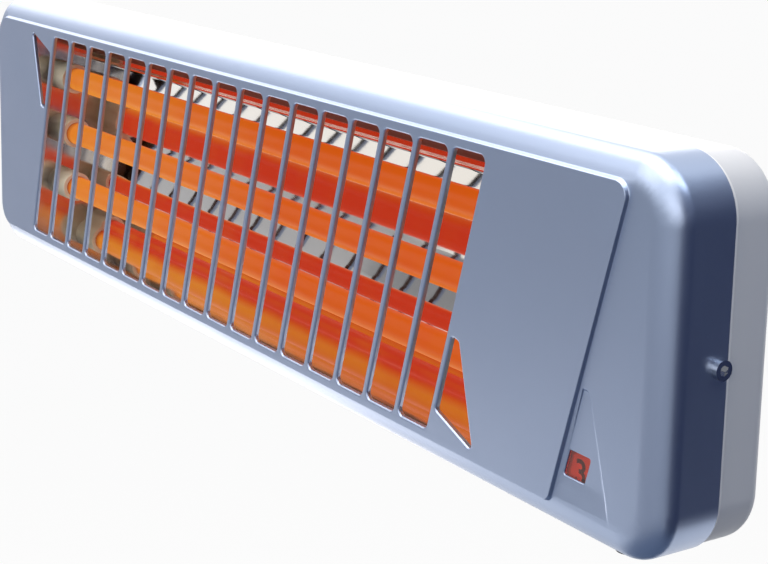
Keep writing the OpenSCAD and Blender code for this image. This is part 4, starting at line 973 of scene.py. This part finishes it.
def stage_plane(name, width, depth, place, facing, colour):
    """A matt rectangle of the room, which isn't part of the object."""
    data = bpy.data.meshes.new(name)
    w, d = width / 2, depth / 2
    data.from_pydata([(-w, -d, 0), (w, -d, 0), (w, d, 0), (-w, d, 0)], [], [(0, 1, 2, 3)])
    plane = bpy.data.objects.new(name, data)
    plane.location = place
    plane.rotation_mode = "QUATERNION"
    plane.rotation_quaternion = Vector(facing).to_track_quat("Z", "Y")
    scene.collection.objects.link(plane)
    card = bpy.data.materials.new(name + "_card")
    card.use_nodes = True
    matt = card.node_tree.nodes["Principled BSDF"]
    matt.inputs["Base Color"].default_value = (*colour, 1)
    matt.inputs["Roughness"].default_value = 0.9
    data.materials.append(card)
    return plane


def whiten_background(card):
    """White on a matt card for the camera, metal and glass only, and still with its shadow."""
    nodes, links = card.node_tree.nodes, card.node_tree.links
    glow, share, mix = (nodes.new("ShaderNodeEmission"), nodes.new("ShaderNodeMath"),
                        nodes.new("ShaderNodeMixShader"))
    share.operation = "MULTIPLY"
    share.inputs[1].default_value = FLOOR_WHITE
    links.new(background_rays(nodes, links), share.inputs[0])
    links.new(share.outputs[0], mix.inputs["Fac"])
    links.new(nodes["Principled BSDF"].outputs[0], mix.inputs[1])
    links.new(glow.outputs[0], mix.inputs[2])
    links.new(mix.outputs[0], nodes["Material Output"].inputs["Surface"])


floor = stage_plane("floor", FLOOR_SIZE, FLOOR_SIZE, (0, 0, FLOOR_Z), UP, (0.82, 0.82, 0.83))
whiten_background(floor.data.materials[0])
for name, width, depth, place, facing, colour in (
        ("dark_board", 4.2, 3.6, (0.95, 1.45, 0.82), TO_LEFT, NAVY),
        ("dark_card_below", 1.5, 1.7, (0.3, -0.35, -0.985), UP, DUSK),
        ("pale_board_left", 2.4, 1.3, (-2.78, -0.65, -0.35), TO_HEATER, PALE),
        ("grey_board_left", 1.8, 1.3, (-1.72, -2.46, -0.35), TO_HEATER, GREY),
        ("grey_board_front", 4.4, 2.0, (1.2, -1.95, -0.42), UP_AND_BACK, GREY)):
    board = stage_plane(name, width, depth, place, facing, colour)
    board.visible_camera = board.visible_shadow = False


def soft_lamp(name, width, depth, power, place, aim, colour=LAMP_WARM):
    """A rectangular lamp that shines from its place towards its aim, unseen by the camera."""
    data = bpy.data.lights.new(name, "AREA")
    data.shape, data.size, data.size_y, data.energy = "RECTANGLE", width, depth, power
    data.color = colour
    lamp = bpy.data.objects.new(name, data)
    lamp.location = place
    lamp.rotation_mode = "QUATERNION"
    lamp.rotation_quaternion = (Vector(aim) - Vector(place)).to_track_quat("-Z", "Y")
    lamp.visible_camera = False
    scene.collection.objects.link(lamp)


soft_lamp("lamp_above", 1.6, 1.0, 13.0, (-0.1, -0.35, 1.15), (0.05, -0.05, 0.0))
soft_lamp("lamp_left", 1.3, 1.3, 6.5, (-1.5, 0.1, 0.95), (0.0, -0.07, 0.05))
soft_lamp("lamp_back", 1.8, 0.9, 7.0, (-1.5, 1.1, 0.4), (0.0, -0.05, 0.05))
soft_lamp("lamp_front", 1.0, 1.0, 5.0, (-0.7, -1.6, 1.0), (0.1, -0.05, 0.0))
soft_lamp("lamp_front_right", 1.4, 0.8, 4.0, (0.9, -1.5, 0.45), (0.2, -0.07, 0.0))
soft_lamp("lamp_below", 1.5, 1.5, 10.0, (-1.8, 0.1, -0.97), (-1.8, 0.1, 0.0))
soft_lamp("lamp_right", 0.8, 0.8, 7.0, (0.9, 0.1, 1.0), (0.3, -0.05, 0.0), LAMP_COOL)
